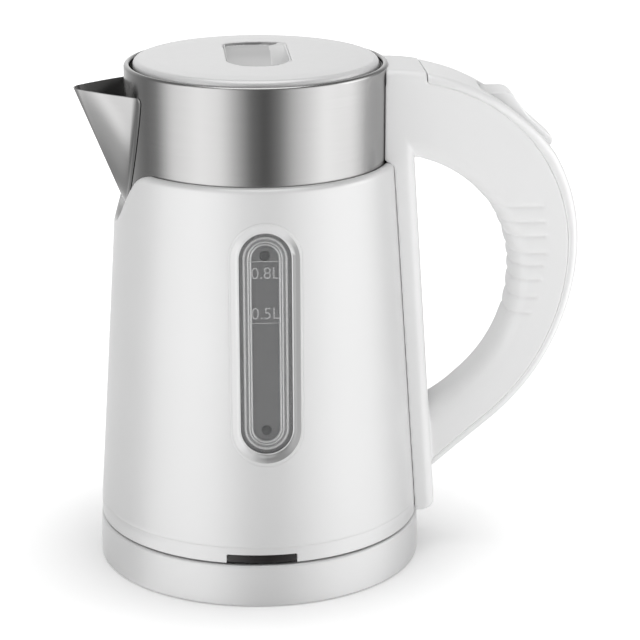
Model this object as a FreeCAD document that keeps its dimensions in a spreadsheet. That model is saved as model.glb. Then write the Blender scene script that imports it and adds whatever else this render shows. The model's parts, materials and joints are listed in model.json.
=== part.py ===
"""A cordless electric kettle on its power base. Millimetres, +Z up.

The origin is the centre of the base's underside. The spout points along -X, the handle
along +X, and the water window faces -Y. Every sub-part is an object of one document,
sized by the cells of the sheet "Sizes".
"""
import FreeCAD, Part
import math
import os
import Sketcher
from FreeCAD import Placement, Rotation, Vector

DIMENSIONS = {
    # power base
    "foot_height": 0.8, "base_radius": 66.3, "base_top_radius": 65.6, "base_top": 17.3,
    "base_wall": 2.3, "deck": 15.2, "deck_radius": 62.6, "plate_thickness": 2.2,
    "post_radius": 15.0, "post_top": 27.0, "slot_inner": 8.2, "slot_outer": 10.2,
    "gland_bore": 3.0, "gland_radius": 3.9, "gland_level": 8.3, "gland_length": 6.4,
    "foot_circle": 54.0, "foot_radius": 6.0, "foot_inset": 0.4,
    "boss_radius": 3.2, "shank_radius": 1.1, "shank_length": 9.0, "head_radius": 2.9,
    "head_height": 0.9, "connector_flange": 21.0, "slot_floor": 17.0, "earth_radius": 2.4,
    "earth_floor": 15.0, "contact_thickness": 0.6,
    # coupler under the kettle
    "coupler_radius": 22.0, "coupler_bottom": 18.6, "coupler_top": 33.0, "coupler_roof": 28.0,
    "blade_inner": 8.9, "blade_outer": 9.4, "earth_pin": 1.4,
    # floor of the kettle and what stands on it
    "floor_thickness": 2.4, "foot_ring_inner": 50.0, "foot_ring_outer": 53.0,
    "post_circle": 43.0, "post_boss": 3.3, "post_pilot": 1.3, "post_head": 2.6,
    "post_length": 20.5, "plate_radius": 45.2, "plate_height": 1.4,
    "element_circle": 34.0, "element_radius": 3.1, "terminal_length": 7.0,
    "control_height": 7.4, "disc_radius": 9.0, "disc_thickness": 0.5,
    # outer jacket, a cone from the waist up to the shoulder
    "jacket_bottom": 18.0, "waist": 24.0, "waist_radius": 65.3, "shoulder": 165.0,
    "shoulder_radius": 55.95, "jacket_top": 167.0, "jacket_wall": 2.2,
    # steel vessel with its exposed collar
    "vessel_radius": 52.3, "vessel_floor": 43.4, "vessel_wall": 0.6, "rim": 205.3,
    "rim_radius": 50.0, "ring_level": 48.0, "ring_height": 3.0,
    # notch in the jacket and the spout inside it
    "notch_radius": 21.6, "notch_centre": 164.0, "spout_tip": 72.2, "spout_top": 196.0,
    "spout_bottom": 148.4, "spout_wall": 0.7,
    # water window
    "window_level": 106.0, "window_width": 28.6, "window_length": 96.4,
    "glass_width": 20.3, "glass_length": 87.5, "gauge_width": 10.4, "gauge_length": 76.0,
    "port_spacing": 71.0, "port_radius": 2.2, "frame_depth": 2.8, "pane_thickness": 0.9,
    "pane_lap": 0.9,
    # lid
    "lid_radius": 48.7, "lid_top": 207.6, "lid_edge": 203.2, "plug_bottom": 189.0,
    "plug_radius": 47.6, "plug_wall": 2.0, "seal_level": 196.0,
    "pocket_width": 24.0, "pocket_length": 42.0, "pocket_floor": 194.5, "pocket_round": 6.0,
    # handle: the outer and inner edges are arcs seen from the side
    "crown_x": 54.0, "crown_level": 128.6, "crown_radius": 77.0, "heel_radius": 99.0,
    "inner_x": 52.0, "inner_level": 121.0, "inner_radius": 48.6,
    "throat_x": 45.8, "throat_level": 115.0, "throat_radius": 55.0,
    "cover_thickness": 5.5, "seam_gap": 0.15, "handle_wall": 2.6,
    "spine_half_width": 17.2, "spine_thickness": 6.3, "spine_bottom": 18.8,
    "groove_width": 1.0, "groove_depth": 0.5,
    # switch
    "lever_half_width": 8.6, "pivot_x": 101.0, "pivot_level": 181.4, "pin_radius": 1.5,
    "tube_outer": 3.0, "tube_inner": 2.0, "tube_length": 10.0, "running_gap": 0.3,
}

doc = FreeCAD.newDocument("kettle")
sheet = doc.addObject("Spreadsheet::Sheet", "Sizes")


class Size:
    """A number that also carries the sheet expression it comes from."""

    def __init__(self, value, text):
        self.value = value
        self.text = text

    def __add__(self, other):
        other = size(other)
        return Size(self.value + other.value, f"({self.text} + {other.text})")

    def __sub__(self, other):
        other = size(other)
        return Size(self.value - other.value, f"({self.text} - {other.text})")

    def __mul__(self, other):
        other = size(other)
        return Size(self.value * other.value, f"({self.text} * {other.text})")

    def __truediv__(self, other):
        other = size(other)
        return Size(self.value / other.value, f"({self.text} / {other.text})")

    def __neg__(self):
        return Size(-self.value, f"(-1 * {self.text})")

    __radd__ = __add__

    def __rsub__(self, other):
        return size(other) - self


def size(number):
    return number if isinstance(number, Size) else Size(float(number), repr(float(number)))


class Sheet:
    """The driving dimensions, each a Size read by its alias."""

    def __init__(self, dimensions):
        for row, (alias, value) in enumerate(dimensions.items(), start=1):
            sheet.set(f"A{row}", alias)
            sheet.set(f"B{row}", str(value))
            sheet.setAlias(f"B{row}", alias)
            setattr(self, alias, Size(value, f"Sizes.{alias}"))


s = Sheet(DIMENSIONS)
doc.recompute()


def bind(target, **sizes):
    """Sets each property to its size and keeps it bound to the sheet."""
    for name, amount in sizes.items():
        amount = size(amount)
        setattr(target, name, amount.value)
        target.setExpression(name, amount.text)


# ---------------------------------------------------------------- sketches and features

def fix(sketch, geometry, point, axis, amount):
    """Holds one coordinate of a sketch point at a size."""
    amount = size(amount)
    if amount.value == 0:
        onto = -2 if axis == "DistanceX" else -1
        sketch.addConstraint(Sketcher.Constraint("PointOnObject", geometry, point, onto))
        return
    index = sketch.addConstraint(Sketcher.Constraint(axis, geometry, point, amount.value))
    sketch.setExpression(f"Constraints[{index}]", amount.text)


def draw_loop(sketch, corners):
    """A closed loop through corners (x, y), or (x, y, radius) where it is rounded."""
    points = [Vector(size(c[0]).value, size(c[1]).value, 0) for c in corners]
    count = len(corners)
    entries, exits, arcs = [], [], []
    for i, corner in enumerate(corners):
        before = (points[i - 1] - points[i]).normalize()
        after = (points[(i + 1) % count] - points[i]).normalize()
        radius = size(corner[2]).value if len(corner) > 2 else 0
        reach = radius / math.tan(before.getAngle(after) / 2)
        entries.append(points[i] + before * reach)
        exits.append(points[i] + after * reach)
        arcs.append(None)
        if radius:
            centre = points[i] + (before + after).normalize() * math.hypot(radius, reach)
            turn_left = before.cross(after).z < 0
            ends = (entries[i], exits[i]) if turn_left else (exits[i], entries[i])
            angles = [math.atan2(e.y - centre.y, e.x - centre.x) for e in ends]
            circle = Part.Circle(centre, Vector(0, 0, 1), radius)
            arc = sketch.addGeometry(Part.ArcOfCircle(circle, *angles), False)
            arcs[i] = (arc, 1 if turn_left else 2, 2 if turn_left else 1)
    lines = [sketch.addGeometry(Part.LineSegment(exits[i], entries[(i + 1) % count]), False)
             for i in range(count)]
    for i, corner in enumerate(corners):
        previous, following = lines[i - 1], lines[i]
        if arcs[i] is None:
            sketch.addConstraint(Sketcher.Constraint("Coincident", previous, 2, following, 1))
            held, point = following, 1
        else:
            arc, entry, leave = arcs[i]
            sketch.addConstraint(Sketcher.Constraint("Tangent", previous, 2, arc, entry))
            sketch.addConstraint(Sketcher.Constraint("Tangent", arc, leave, following, 1))
            radius = size(corner[2])
            index = sketch.addConstraint(Sketcher.Constraint("Radius", arc, radius.value))
            sketch.setExpression(f"Constraints[{index}]", radius.text)
            held, point = sketch.addGeometry(Part.Point(points[i]), True), 1
            for line in (previous, following):
                sketch.addConstraint(Sketcher.Constraint("PointOnObject", held, 1, line))
        fix(sketch, held, point, "DistanceX", corner[0])
        fix(sketch, held, point, "DistanceY", corner[1])


def draw_circle(sketch, x, y, radius):
    radius = size(radius)
    centre = Vector(size(x).value, size(y).value, 0)
    ring = sketch.addGeometry(Part.Circle(centre, Vector(0, 0, 1), radius.value), False)
    index = sketch.addConstraint(Sketcher.Constraint("Radius", ring, radius.value))
    sketch.setExpression(f"Constraints[{index}]", radius.text)
    fix(sketch, ring, 3, "DistanceX", x)
    fix(sketch, ring, 3, "DistanceY", y)


def draw_slot(sketch, x, y, width, length):
    """An upright slot with round ends."""
    radius = size(width) / 2
    reach = (size(length) - width) / 2
    x = size(x)
    y = size(y)
    r = radius.value
    ends = []
    for sign, start in ((1, 0), (-1, math.pi)):
        centre = Vector(x.value, y.value + sign * reach.value, 0)
        circle = Part.Circle(centre, Vector(0, 0, 1), r)
        end = sketch.addGeometry(Part.ArcOfCircle(circle, start, start + math.pi), False)
        fix(sketch, end, 3, "DistanceX", x)
        fix(sketch, end, 3, "DistanceY", y + reach * sign)
        ends.append(end)
    upper, lower = ends
    for first, second, side in ((upper, lower, -1), (lower, upper, 1)):
        top = Vector(x.value + side * r, y.value - side * reach.value, 0)
        bottom = Vector(x.value + side * r, y.value + side * reach.value, 0)
        wall = sketch.addGeometry(Part.LineSegment(top, bottom), False)
        sketch.addConstraint(Sketcher.Constraint("Tangent", first, 2, wall, 1))
        sketch.addConstraint(Sketcher.Constraint("Tangent", wall, 2, second, 1))
    index = sketch.addConstraint(Sketcher.Constraint("Radius", upper, r))
    sketch.setExpression(f"Constraints[{index}]", radius.text)


def rectangle(width, height, x=0, y=0, radius=0):
    """Corners of a rectangle about (x, y), all rounded alike."""
    corners = []
    for sx, sy in ((-1, -1), (1, -1), (1, 1), (-1, 1)):
        corner = (size(x) + size(width) * (sx / 2), size(y) + size(height) * (sy / 2))
        corners.append(corner + (radius,) if radius else corner)
    return corners


class Piece:
    """One PartDesign body, made feature by feature."""

    def __init__(self, label):
        self.body = doc.addObject("PartDesign::Body", label)
        self.body.Label = label
        self.body.AllowCompound = True
        self.made = 0

    def origin(self, role):
        return next(f for f in self.body.Origin.OriginFeatures if f.Role == role)

    def add(self, kind):
        self.made += 1
        short = kind.split("::")[1]
        return self.body.newObject(kind, f"{self.body.Name}_{short}_{self.made}")

    def sketch(self, plane, offset, loops, tilt=0):
        """Loops on an origin plane, moved along its normal and tilted about its X."""
        sketch = self.add("Sketcher::SketchObject")
        sketch.AttachmentSupport = [(self.origin(plane), "")]
        sketch.MapMode = "FlatFace"
        offset = size(offset)
        tilted = Rotation(Vector(1, 0, 0), tilt)
        sketch.AttachmentOffset = Placement(Vector(0, 0, offset.value), tilted)
        sketch.setExpression("AttachmentOffset.Base.z", offset.text)
        for loop in loops:
            if isinstance(loop, list):
                draw_loop(sketch, loop)
            elif len(loop) == 3:
                draw_circle(sketch, *loop)
            else:
                draw_slot(sketch, *loop)
        return sketch

    def turn(self, *loops, kind="Revolution", angle=360):
        """A solid, or with Groove a cut, turned about Z from half outlines (r, z)."""
        profile = self.sketch("XZ_Plane", 0, loops)
        feature = self.add(f"PartDesign::{kind}")
        feature.Profile = profile
        feature.ReferenceAxis = (profile, ["V_Axis"])
        bind(feature, Angle=angle)
        return self.settle(feature, cuts=kind == "Groove")

    def pad(self, plane, start, length, *loops, tilt=0):
        profile = self.sketch(plane, start, loops, tilt)
        feature = self.add("PartDesign::Pad")
        feature.Profile = profile
        bind(feature, Length=length)
        return self.settle(feature)

    def pocket(self, plane, start, depth, *loops, tilt=0, taper=0, forward=False):
        """Cuts against the plane's normal, or along it when forward."""
        profile = self.sketch(plane, start, loops, tilt)
        feature = self.add("PartDesign::Pocket")
        feature.Profile = profile
        feature.Reversed = forward
        bind(feature, Length=depth)
        if taper:
            bind(feature, TaperAngle=taper)
        return self.settle(feature, cuts=True)

    def around(self, count, *features):
        """Repeats features evenly about Z."""
        pattern = self.add("PartDesign::PolarPattern")
        pattern.Originals = list(features)
        pattern.Axis = (self.origin("Z_Axis"), [""])
        pattern.Angle = 360
        pattern.Occurrences = count
        self.body.Tip = pattern
        return self.settle(pattern)

    def settle(self, feature, cuts=False):
        """Recomputes, and for a cut makes sure that it removed material."""
        before = feature.BaseFeature.Shape.Volume if cuts and feature.BaseFeature else None
        doc.recompute()
        if feature.State and "Invalid" in feature.State:
            raise RuntimeError(f"{feature.Name} failed")
        if before is not None and not feature.Shape.Volume < before - 1e-6:
            raise RuntimeError(f"{feature.Name} cuts nothing")
        return feature

    def place(self, x=0, y=0, z=0, axis=Vector(0, 0, 1), angle=0):
        self.body.Placement = Placement(Vector(x, y, z), Rotation(axis, angle))


def shaped(label, shape):
    """A sub-part whose shape is made by Part's own functions."""
    feature = doc.addObject("Part::Feature", label)
    feature.Label = label
    feature.Shape = shape
    return feature


# ------------------------------------------------------------------------- power base

CORNER = 50 / math.sqrt(2)      # X and Y of the base's screws
SCREW_LEVELS = (30, 76)         # heights of the handle's screws
STEAM_LEVEL = 188               # height of the hole that leads steam to the switch
PIN_REACH = 14.5                # half the length of the switch's pin


def base_cover():
    """Ring and deck of the power base, with four screw bosses and the cord's hole."""
    inner = s.base_radius - s.base_wall
    hole = s.post_radius + 1.4
    under = s.deck - 2
    piece = Piece("base_cover")
    piece.turn([(inner, s.foot_height), (s.base_radius, s.foot_height, 1.6),
                (s.base_top_radius, s.base_top, 1.1), (s.deck_radius + 0.4, s.base_top),
                (s.deck_radius, s.deck), (hole, s.deck), (hole, under), (inner, under)])
    floor = s.foot_height + s.foot_inset + s.plate_thickness
    boss = piece.pad("XY_Plane", floor, under - floor, (CORNER, CORNER, s.boss_radius))
    piece.around(4, boss)
    pilot = piece.pocket("XY_Plane", floor, s.shank_length - 1, (CORNER, CORNER, s.shank_radius),
                         forward=True)
    piece.around(4, pilot)
    piece.pocket("XZ_Plane", -60, 10, (0, s.gland_level, s.gland_radius))


def base_plate():
    bottom = s.foot_height + s.foot_inset
    piece = Piece("base_plate")
    piece.pad("XY_Plane", bottom, s.plate_thickness, (0, 0, s.base_radius - s.base_wall - 0.2))
    hole = piece.pocket("XY_Plane", bottom, s.plate_thickness + 1,
                        (CORNER, CORNER, s.shank_radius + 0.6), forward=True)
    piece.around(4, hole)


def base_feet():
    """Five round pads under the plate: one in the middle and four round it."""
    height = s.foot_height + s.foot_inset
    piece = Piece("base_feet")
    foot = piece.pad("XY_Plane", 0, height, (s.foot_circle, 0, s.foot_radius))
    piece.around(4, foot)
    piece.pad("XY_Plane", 0, height, (0, 0, s.foot_radius))


def base_screws():
    piece = Piece("base_screws")
    bottom = s.foot_height + s.foot_inset
    head = piece.pad("XY_Plane", bottom - s.head_height, s.head_height,
                     (CORNER, CORNER, s.head_radius))
    shank = piece.pad("XY_Plane", bottom, s.shank_length, (CORNER, CORNER, s.shank_radius))
    piece.around(4, head, shank)


def base_connector():
    """The round post that the kettle is set down on, with a ring slot and a middle hole."""
    under = s.deck - 2
    flange = under - 2.2
    piece = Piece("base_connector")
    piece.turn([(0, flange), (s.connector_flange, flange), (s.connector_flange, under),
                (s.post_radius, under), (s.post_radius, s.post_top, 1),
                (s.slot_outer, s.post_top), (s.slot_outer, s.slot_floor),
                (s.slot_inner, s.slot_floor), (s.slot_inner, s.post_top),
                (s.earth_radius, s.post_top), (s.earth_radius, s.earth_floor),
                (0, s.earth_floor)])


def base_contacts():
    """A ring and a tube of sprung contacts inside the post."""
    piece = Piece("base_contacts")
    for outer, floor, height, thickness in (
            (s.earth_radius, s.earth_floor, 8, s.contact_thickness),
            (s.slot_outer, s.slot_floor, 7, s.contact_thickness - 0.2)):
        inner = outer - thickness
        top = floor + height
        piece.turn([(inner, floor), (outer, floor), (outer, top), (inner, top)])


def cord_gland():
    """Bushing in the base's back wall that the mains lead passes through."""
    flange = s.gland_radius + 0.6
    piece = Piece("cord_gland")
    piece.turn([(s.gland_bore, 0), (flange, 0), (flange, 2), (s.gland_radius, 2),
                (s.gland_radius, s.gland_length, 0.5), (s.gland_bore, s.gland_length)])
    piece.place(0, s.base_radius.value - 5.3, s.gland_level.value, Vector(1, 0, 0), -90)


# ---------------------------------------------------------- coupler and kettle bottom

def kettle_coupler():
    """Round socket under the kettle that drops over the post and turns on it."""
    cavity = s.post_radius + 0.4
    piece = Piece("kettle_coupler")
    piece.turn([(cavity, s.coupler_bottom), (s.coupler_radius, s.coupler_bottom, 0.8),
                (s.coupler_radius, s.coupler_top), (0, s.coupler_top),
                (0, s.coupler_roof), (cavity, s.coupler_roof)])


def coupler_pins():
    """Middle pin and ring blade that meet the contacts in the post."""
    roof = s.coupler_roof
    piece = Piece("coupler_pins")
    piece.turn([(0, 19.5), (s.earth_pin, 19.5), (s.earth_pin, roof), (0, roof)])
    piece.turn([(s.blade_inner, 20), (s.blade_outer, 20), (s.blade_outer, roof),
                (s.blade_inner, roof)])


def bottom_cover():
    """Floor of the kettle, with a collar round the coupler, a foot ring and three posts."""
    bottom = s.jacket_bottom + 0.2
    top = bottom + s.floor_thickness
    tread = s.deck + s.running_gap
    rim = s.waist_radius - s.jacket_wall - 0.3
    hole = s.coupler_radius + s.running_gap
    collar = hole + 2
    piece = Piece("bottom_cover")
    piece.turn([(hole, bottom), (s.foot_ring_inner, bottom), (s.foot_ring_inner, tread),
                (s.foot_ring_outer, tread), (s.foot_ring_outer, bottom), (rim, bottom),
                (rim, top), (collar, top), (collar, top + 5), (hole, top + 5)])
    post = piece.pad("XY_Plane", top, s.post_length, (s.post_circle, 0, s.post_boss))
    piece.around(3, post)
    seat = piece.pocket("XY_Plane", bottom, 1.8, (s.post_circle, 0, s.post_head + 0.2),
                        forward=True)
    piece.around(3, seat)
    pilot = piece.pocket("XY_Plane", bottom, 20, (s.post_circle, 0, s.post_pilot), forward=True)
    piece.around(3, pilot)


def bottom_screws():
    piece = Piece("bottom_screws")
    seat = s.jacket_bottom + 2
    head = piece.pad("XY_Plane", seat - 1.5, 1.5, (s.post_circle, 0, s.post_head))
    shank = piece.pad("XY_Plane", seat, 17, (s.post_circle, 0, s.post_pilot))
    piece.around(3, head, shank)


def heater_plate():
    under = s.vessel_floor - s.vessel_wall
    piece = Piece("heater_plate")
    piece.pad("XY_Plane", under - s.plate_height, s.plate_height, (0, 0, s.plate_radius))


def heater_tube():
    """Tubular element curled under the plate, open at one side for its terminals."""
    tube = doc.addObject("Part::Torus", "heater_tube")
    bind(tube, Radius1=s.element_circle, Radius2=s.element_radius, Angle3=300)
    level = s.vessel_floor - s.vessel_wall - s.plate_height - s.element_radius
    tube.Placement = Placement(Vector(0, 0, level.value), Rotation(Vector(0, 0, 1), 30))


def heater_terminals():
    piece = Piece("heater_terminals")
    top = s.vessel_floor - s.vessel_wall - s.plate_height - s.element_radius * 2
    for angle in (36, 324):
        x = s.element_circle * math.cos(math.radians(angle))
        y = s.element_circle * math.sin(math.radians(angle))
        piece.pad("XY_Plane", top - s.terminal_length, s.terminal_length, (x, y, 1.5))


def thermostat():
    """Control block between the coupler and the heater plate."""
    bottom = s.coupler_top + s.running_gap
    block = Piece("thermostat")
    block.pad("XY_Plane", bottom, s.control_height, rectangle(36, 30, radius=4))
    disc = Piece("bimetal_disc")
    disc.pad("XY_Plane", bottom + s.control_height, s.disc_thickness, (0, 0, s.disc_radius))


# ------------------------------------------------------------------- jacket and vessel

SLOPE = (s.waist_radius - s.shoulder_radius) / (s.shoulder - s.waist)
SURFACE = s.waist_radius + s.waist * SLOPE          # the cone's radius carried down to z = 0
LEAN = -math.degrees(math.atan(SLOPE.value))
INDICATOR = -92.3                                   # azimuth of the power light


def cone_radius(level, inset=0):
    return SURFACE - size(level) * SLOPE - inset


def notch_outline():
    """Opening round the spout seen along X: a round bottom, straight sides, soft shoulders."""
    steepness = math.tan(math.radians(53.8))
    apex = s.notch_centre - s.notch_radius / math.cos(math.radians(53.8))
    brow = s.jacket_top + 0.2
    half = (brow - apex) / steepness
    return [(0, apex, s.notch_radius), (half, brow, 8), (half + 16, brow + 1.2),
            (half + 16, brow + 12), (-half - 16, brow + 12), (-half - 16, brow + 1.2),
            (-half, brow, 8)]


def jacket():
    """White outer shell: a skirt, a cone and a rounded shoulder against the collar."""
    top = s.jacket_top
    clear = s.vessel_radius + 0.15
    inside = s.waist_radius - s.jacket_wall
    piece = Piece("jacket")
    piece.turn([(inside, s.jacket_bottom), (s.waist_radius - 0.2, s.jacket_bottom, 0.6),
                (s.waist_radius, s.waist), (cone_radius(top), top, 2.4), (clear, top),
                (clear, top - 3), (cone_radius(top - 6, s.jacket_wall), top - 6),
                (inside, s.waist)])
    piece.pocket("YZ_Plane", -30, 40, notch_outline())
    piece.pocket("XZ_Plane", SURFACE + 2, 8.5,
                 (0, s.window_level, s.window_width, s.window_length), tilt=LEAN)
    for level in SCREW_LEVELS:
        piece.pocket("YZ_Plane", 50, 20, (0, level, 2), forward=True)
    half = math.radians(90 + INDICATOR)
    middle = s.waist_radius.value * math.sin(half)
    piece.pocket("XZ_Plane", 50, 20, rectangle(27.8, 8, middle, 17.8, radius=0.6), forward=True)


def vessel():
    """Steel tube with a rolled rim, whose top is the exposed collar, and its floor disc."""
    inner = s.vessel_radius - s.vessel_wall
    under = s.vessel_floor - s.vessel_wall
    Piece("vessel_base").pad("XY_Plane", under, s.vessel_wall, (0, 0, inner - 0.02))
    piece = Piece("vessel")
    piece.turn([(inner, under), (s.vessel_radius, under), (s.vessel_radius, s.rim, 1.0),
                (s.rim_radius, s.rim, 0.4), (s.rim_radius, s.rim - 1), (inner, s.rim - 1.9)])
    piece.pocket("YZ_Plane", -40, 20, [(0, 153, 3), (15.5, 191, 3), (-15.5, 191, 3)])
    for sign in (-0.5, 0.5):
        level = s.window_level + s.port_spacing * sign
        piece.pocket("XZ_Plane", 40, 20, (0, level, s.port_radius + 0.05), forward=True)
    piece.pocket("YZ_Plane", 40, 20, (0, STEAM_LEVEL, s.tube_outer + 0.1), forward=True)


def vessel_ring():
    """Silicone ring that centres the vessel in the jacket."""
    bottom = s.ring_level
    top = bottom + s.ring_height
    inner = s.vessel_radius + 0.05
    outer = cone_radius(top, s.jacket_wall + 0.1)
    piece = Piece("vessel_ring")
    piece.turn([(inner, bottom), (outer, bottom), (outer, top), (inner, top)])


def indicator():
    """Smoked lens in the jacket's lower edge, with its two lamps behind."""
    outer = s.waist_radius - 0.35
    lens = Piece("indicator_lens")
    profile = [(outer - 1.6, 18.4), (outer, 18.4, 0.4), (outer, 21.5), (outer - 1.6, 21.5)]
    band = lens.turn(profile, angle=24)
    band.Midplane = True
    lens.place(angle=INDICATOR)
    lamps = Piece("indicator_lamps")
    for across in (-7, 7):
        lamps.pad("XY_Plane", s.jacket_bottom + 2.6, 4.5, (59, across, 1.5))
    lamps.place(angle=INDICATOR)


# --------------------------------------------------------------------------- window

def window_frame():
    """Rounded frame with a sloping inner wall, following the cone of the jacket."""
    depth = s.frame_depth
    low = s.window_level - 54
    high = s.window_level + 54
    piece = Piece("window_frame")
    band = piece.turn([(cone_radius(low, depth), low), (cone_radius(low), low),
                       (cone_radius(high), high), (cone_radius(high, depth), high)], angle=50)
    band.Midplane = True
    doc.recompute()
    outside = rectangle(80, 150, 0, s.window_level)
    fit = 0.2
    slot = (0, s.window_level, s.window_width - fit, s.window_length - fit)
    piece.pocket("YZ_Plane", SURFACE + 2, 20, outside, slot, tilt=LEAN)
    mouth = (0, s.window_level, s.window_width - 2.6, s.window_length - 2.6)
    piece.pocket("YZ_Plane", SURFACE, 2.2, mouth, tilt=LEAN, taper=-46)
    glass = (0, s.window_level, s.glass_width, s.glass_length)
    piece.pocket("YZ_Plane", SURFACE + 1, 10, glass, tilt=LEAN)
    lap = s.pane_lap * 2
    rebate = (0, s.window_level, s.glass_width + lap, s.glass_length + lap)
    piece.pocket("YZ_Plane", SURFACE - depth, 10, rebate, tilt=LEAN)
    piece.place(angle=-90)


def window_pane():
    """Clear cover over the water gauge, behind the frame."""
    piece = Piece("window_pane")
    lap = s.pane_lap * 2 - 0.2
    slot = (0, s.window_level, s.glass_width + lap, s.glass_length + lap)
    back = SURFACE - s.frame_depth - s.pane_thickness - 0.05
    piece.pad("YZ_Plane", back, s.pane_thickness, slot, tilt=LEAN)
    piece.place(angle=-90)


def gauge_tube():
    """Clear channel that the water rises in, with a port at each end into the vessel."""
    back = s.vessel_radius + 0.3
    reach = s.vessel_radius - s.vessel_wall - 1.2
    piece = Piece("gauge_tube")
    piece.pad("YZ_Plane", back, 9, (0, s.window_level, s.gauge_width + 2.4, s.gauge_length + 2.4))
    piece.pocket("YZ_Plane", back + 0.5, 10,
                 (0, s.window_level, s.gauge_width, s.gauge_length), forward=True)
    front = SURFACE - s.frame_depth - s.pane_thickness - 0.1
    piece.pocket("YZ_Plane", front, 15, rectangle(40, 140, 0, s.window_level),
                 tilt=LEAN, forward=True)
    for sign in (-0.5, 0.5):
        level = s.window_level + s.port_spacing * sign
        piece.pad("YZ_Plane", reach, back - reach + 0.1, (0, level, s.port_radius))
        piece.pocket("YZ_Plane", reach, 3, (0, level, s.port_radius - 0.6), forward=True)
    piece.place(angle=-90)
    seals = Piece("gauge_seals")
    for sign in (-0.5, 0.5):
        level = s.window_level + s.port_spacing * sign
        seals.pad("YZ_Plane", reach, 1, (0, level, s.port_radius + 0.05), (0, level, 4.4))
    seals.place(angle=-90)


# ---------------------------------------------------------------------------- spout

def drum(radius, bottom, top):
    return Part.makeCylinder(radius, top - bottom, Vector(0, 0, bottom))


def seam_half_width(level):
    """Half the width of the spout where it meets the collar at one height."""
    top = s.spout_top.value
    share = max(0.0, 1 - ((top - level) / (top - s.spout_bottom.value)) ** 1.25)
    return 22.9 * math.sqrt(share) + 0.4


def spout_section(level, inset=0.0):
    """V-shaped outline with a rounded nose at one height, its sides moved in by inset."""
    width = seam_half_width(level)
    root = -math.sqrt(s.vessel_radius.value ** 2 - width ** 2)
    rise = (level - s.spout_bottom.value) / (s.spout_top.value - s.spout_bottom.value)
    start = s.vessel_radius.value + 0.6
    nose_line = -start - rise * (s.spout_tip.value - start)
    nose = 0.6 + 3.4 * rise
    front = nose_line
    for _ in range(8):
        half = math.atan2(width, root - front)
        front = nose_line - nose / math.sin(half) + nose
    front += inset / math.sin(half)
    nose = max(0.3, nose - inset)
    tangent = nose / math.tan(half)
    back = -44.0
    near = Vector(front + tangent * math.cos(half), tangent * math.sin(half), level)
    far = Vector(back, (back - front) * math.tan(half), level)
    tip = Vector(front + nose / math.sin(half) - nose, 0, level)
    near_mirror = Vector(near.x, -near.y, level)
    far_mirror = Vector(far.x, -far.y, level)
    return Part.Wire([Part.LineSegment(far, near).toShape(),
                      Part.Arc(near, tip, near_mirror).toShape(),
                      Part.LineSegment(near_mirror, far_mirror).toShape(),
                      Part.LineSegment(far_mirror, far).toShape()])


def flange_section(level):
    half = seam_half_width(level) + 2.4
    corners = [Vector(-60, -half, level), Vector(-40, -half, level),
               Vector(-40, half, level), Vector(-60, half, level)]
    return Part.makePolygon(corners + corners[:1])


def spout():
    """Folded steel spout with a thin flange that follows its edge on the collar."""
    top = s.spout_top.value
    bottom = s.spout_bottom.value
    wall = s.spout_wall.value
    levels = [bottom + (top - bottom) * share for share in (0.01, 0.06, 0.16, 0.32, 0.55, 0.78, 1)]
    outer = Part.makeLoft([spout_section(z) for z in levels], True)
    inner = Part.makeLoft([spout_section(z, wall) for z in levels[1:]], True)
    mouth = Part.Face(spout_section(top, wall)).extrude(Vector(0, 0, 2))
    pot = drum(s.vessel_radius.value + 0.02, bottom - 20, top + 20)
    shell = outer.cut(inner).cut(mouth).cut(pot)
    skin = drum(s.vessel_radius.value + 0.6, bottom - 5, top).cut(pot)
    band = Part.makeLoft([flange_section(z) for z in levels], True).common(skin)
    flange = band.cut(inner).cut(mouth)
    shaped("spout", largest(shell.fuse(flange).removeSplitter()))


# --------------------------------------------------------------------------- handle

def arch_points(outer_angle, inner_angle):
    """Outer and inner edge of the grip, seen from the side, at one station."""
    turn = math.radians(outer_angle)
    if outer_angle >= 0:
        outer = Vector(s.crown_x.value, 0, s.crown_level.value)
        outer += Vector(math.cos(turn), 0, math.sin(turn)) * s.crown_radius.value
    else:
        centre_x = s.crown_x.value + s.crown_radius.value - s.heel_radius.value
        held = max(turn, math.radians(-50))
        outer = Vector(centre_x, 0, s.crown_level.value)
        outer += Vector(math.cos(held), 0, math.sin(held)) * s.heel_radius.value
        run = (held - turn) * s.heel_radius.value
        outer += Vector(math.sin(held), 0, -math.cos(held)) * run
    turn = math.radians(inner_angle)
    if inner_angle >= 0:
        centre = Vector(s.inner_x.value, 0, s.inner_level.value)
        radius = s.inner_radius.value
    else:
        centre = Vector(s.throat_x.value, 0, s.throat_level.value)
        radius = s.throat_radius.value
    return outer, centre + Vector(math.cos(turn), 0, math.sin(turn)) * radius


GROOVES = ((147.1, 115.3), (140.6, 116.3), (134.6, 116.9), (127.5, 117.1), (122.2, 116.4),
           (116.4, 115.0), (109.0, 113.5), (102.3, 110.9))      # height, outer end
STATIONS = ((88, 84, 17.2), (74, 70, 17.2), (58, 55, 16.4), (36, 34, 14.9), (15, 15, 13.8),
            (-6, -8, 13.2), (-20, -26, 13.0), (-34, -42, 13.0), (-50, -57, 13.0),
            (-70, -72, 13.0))


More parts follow.
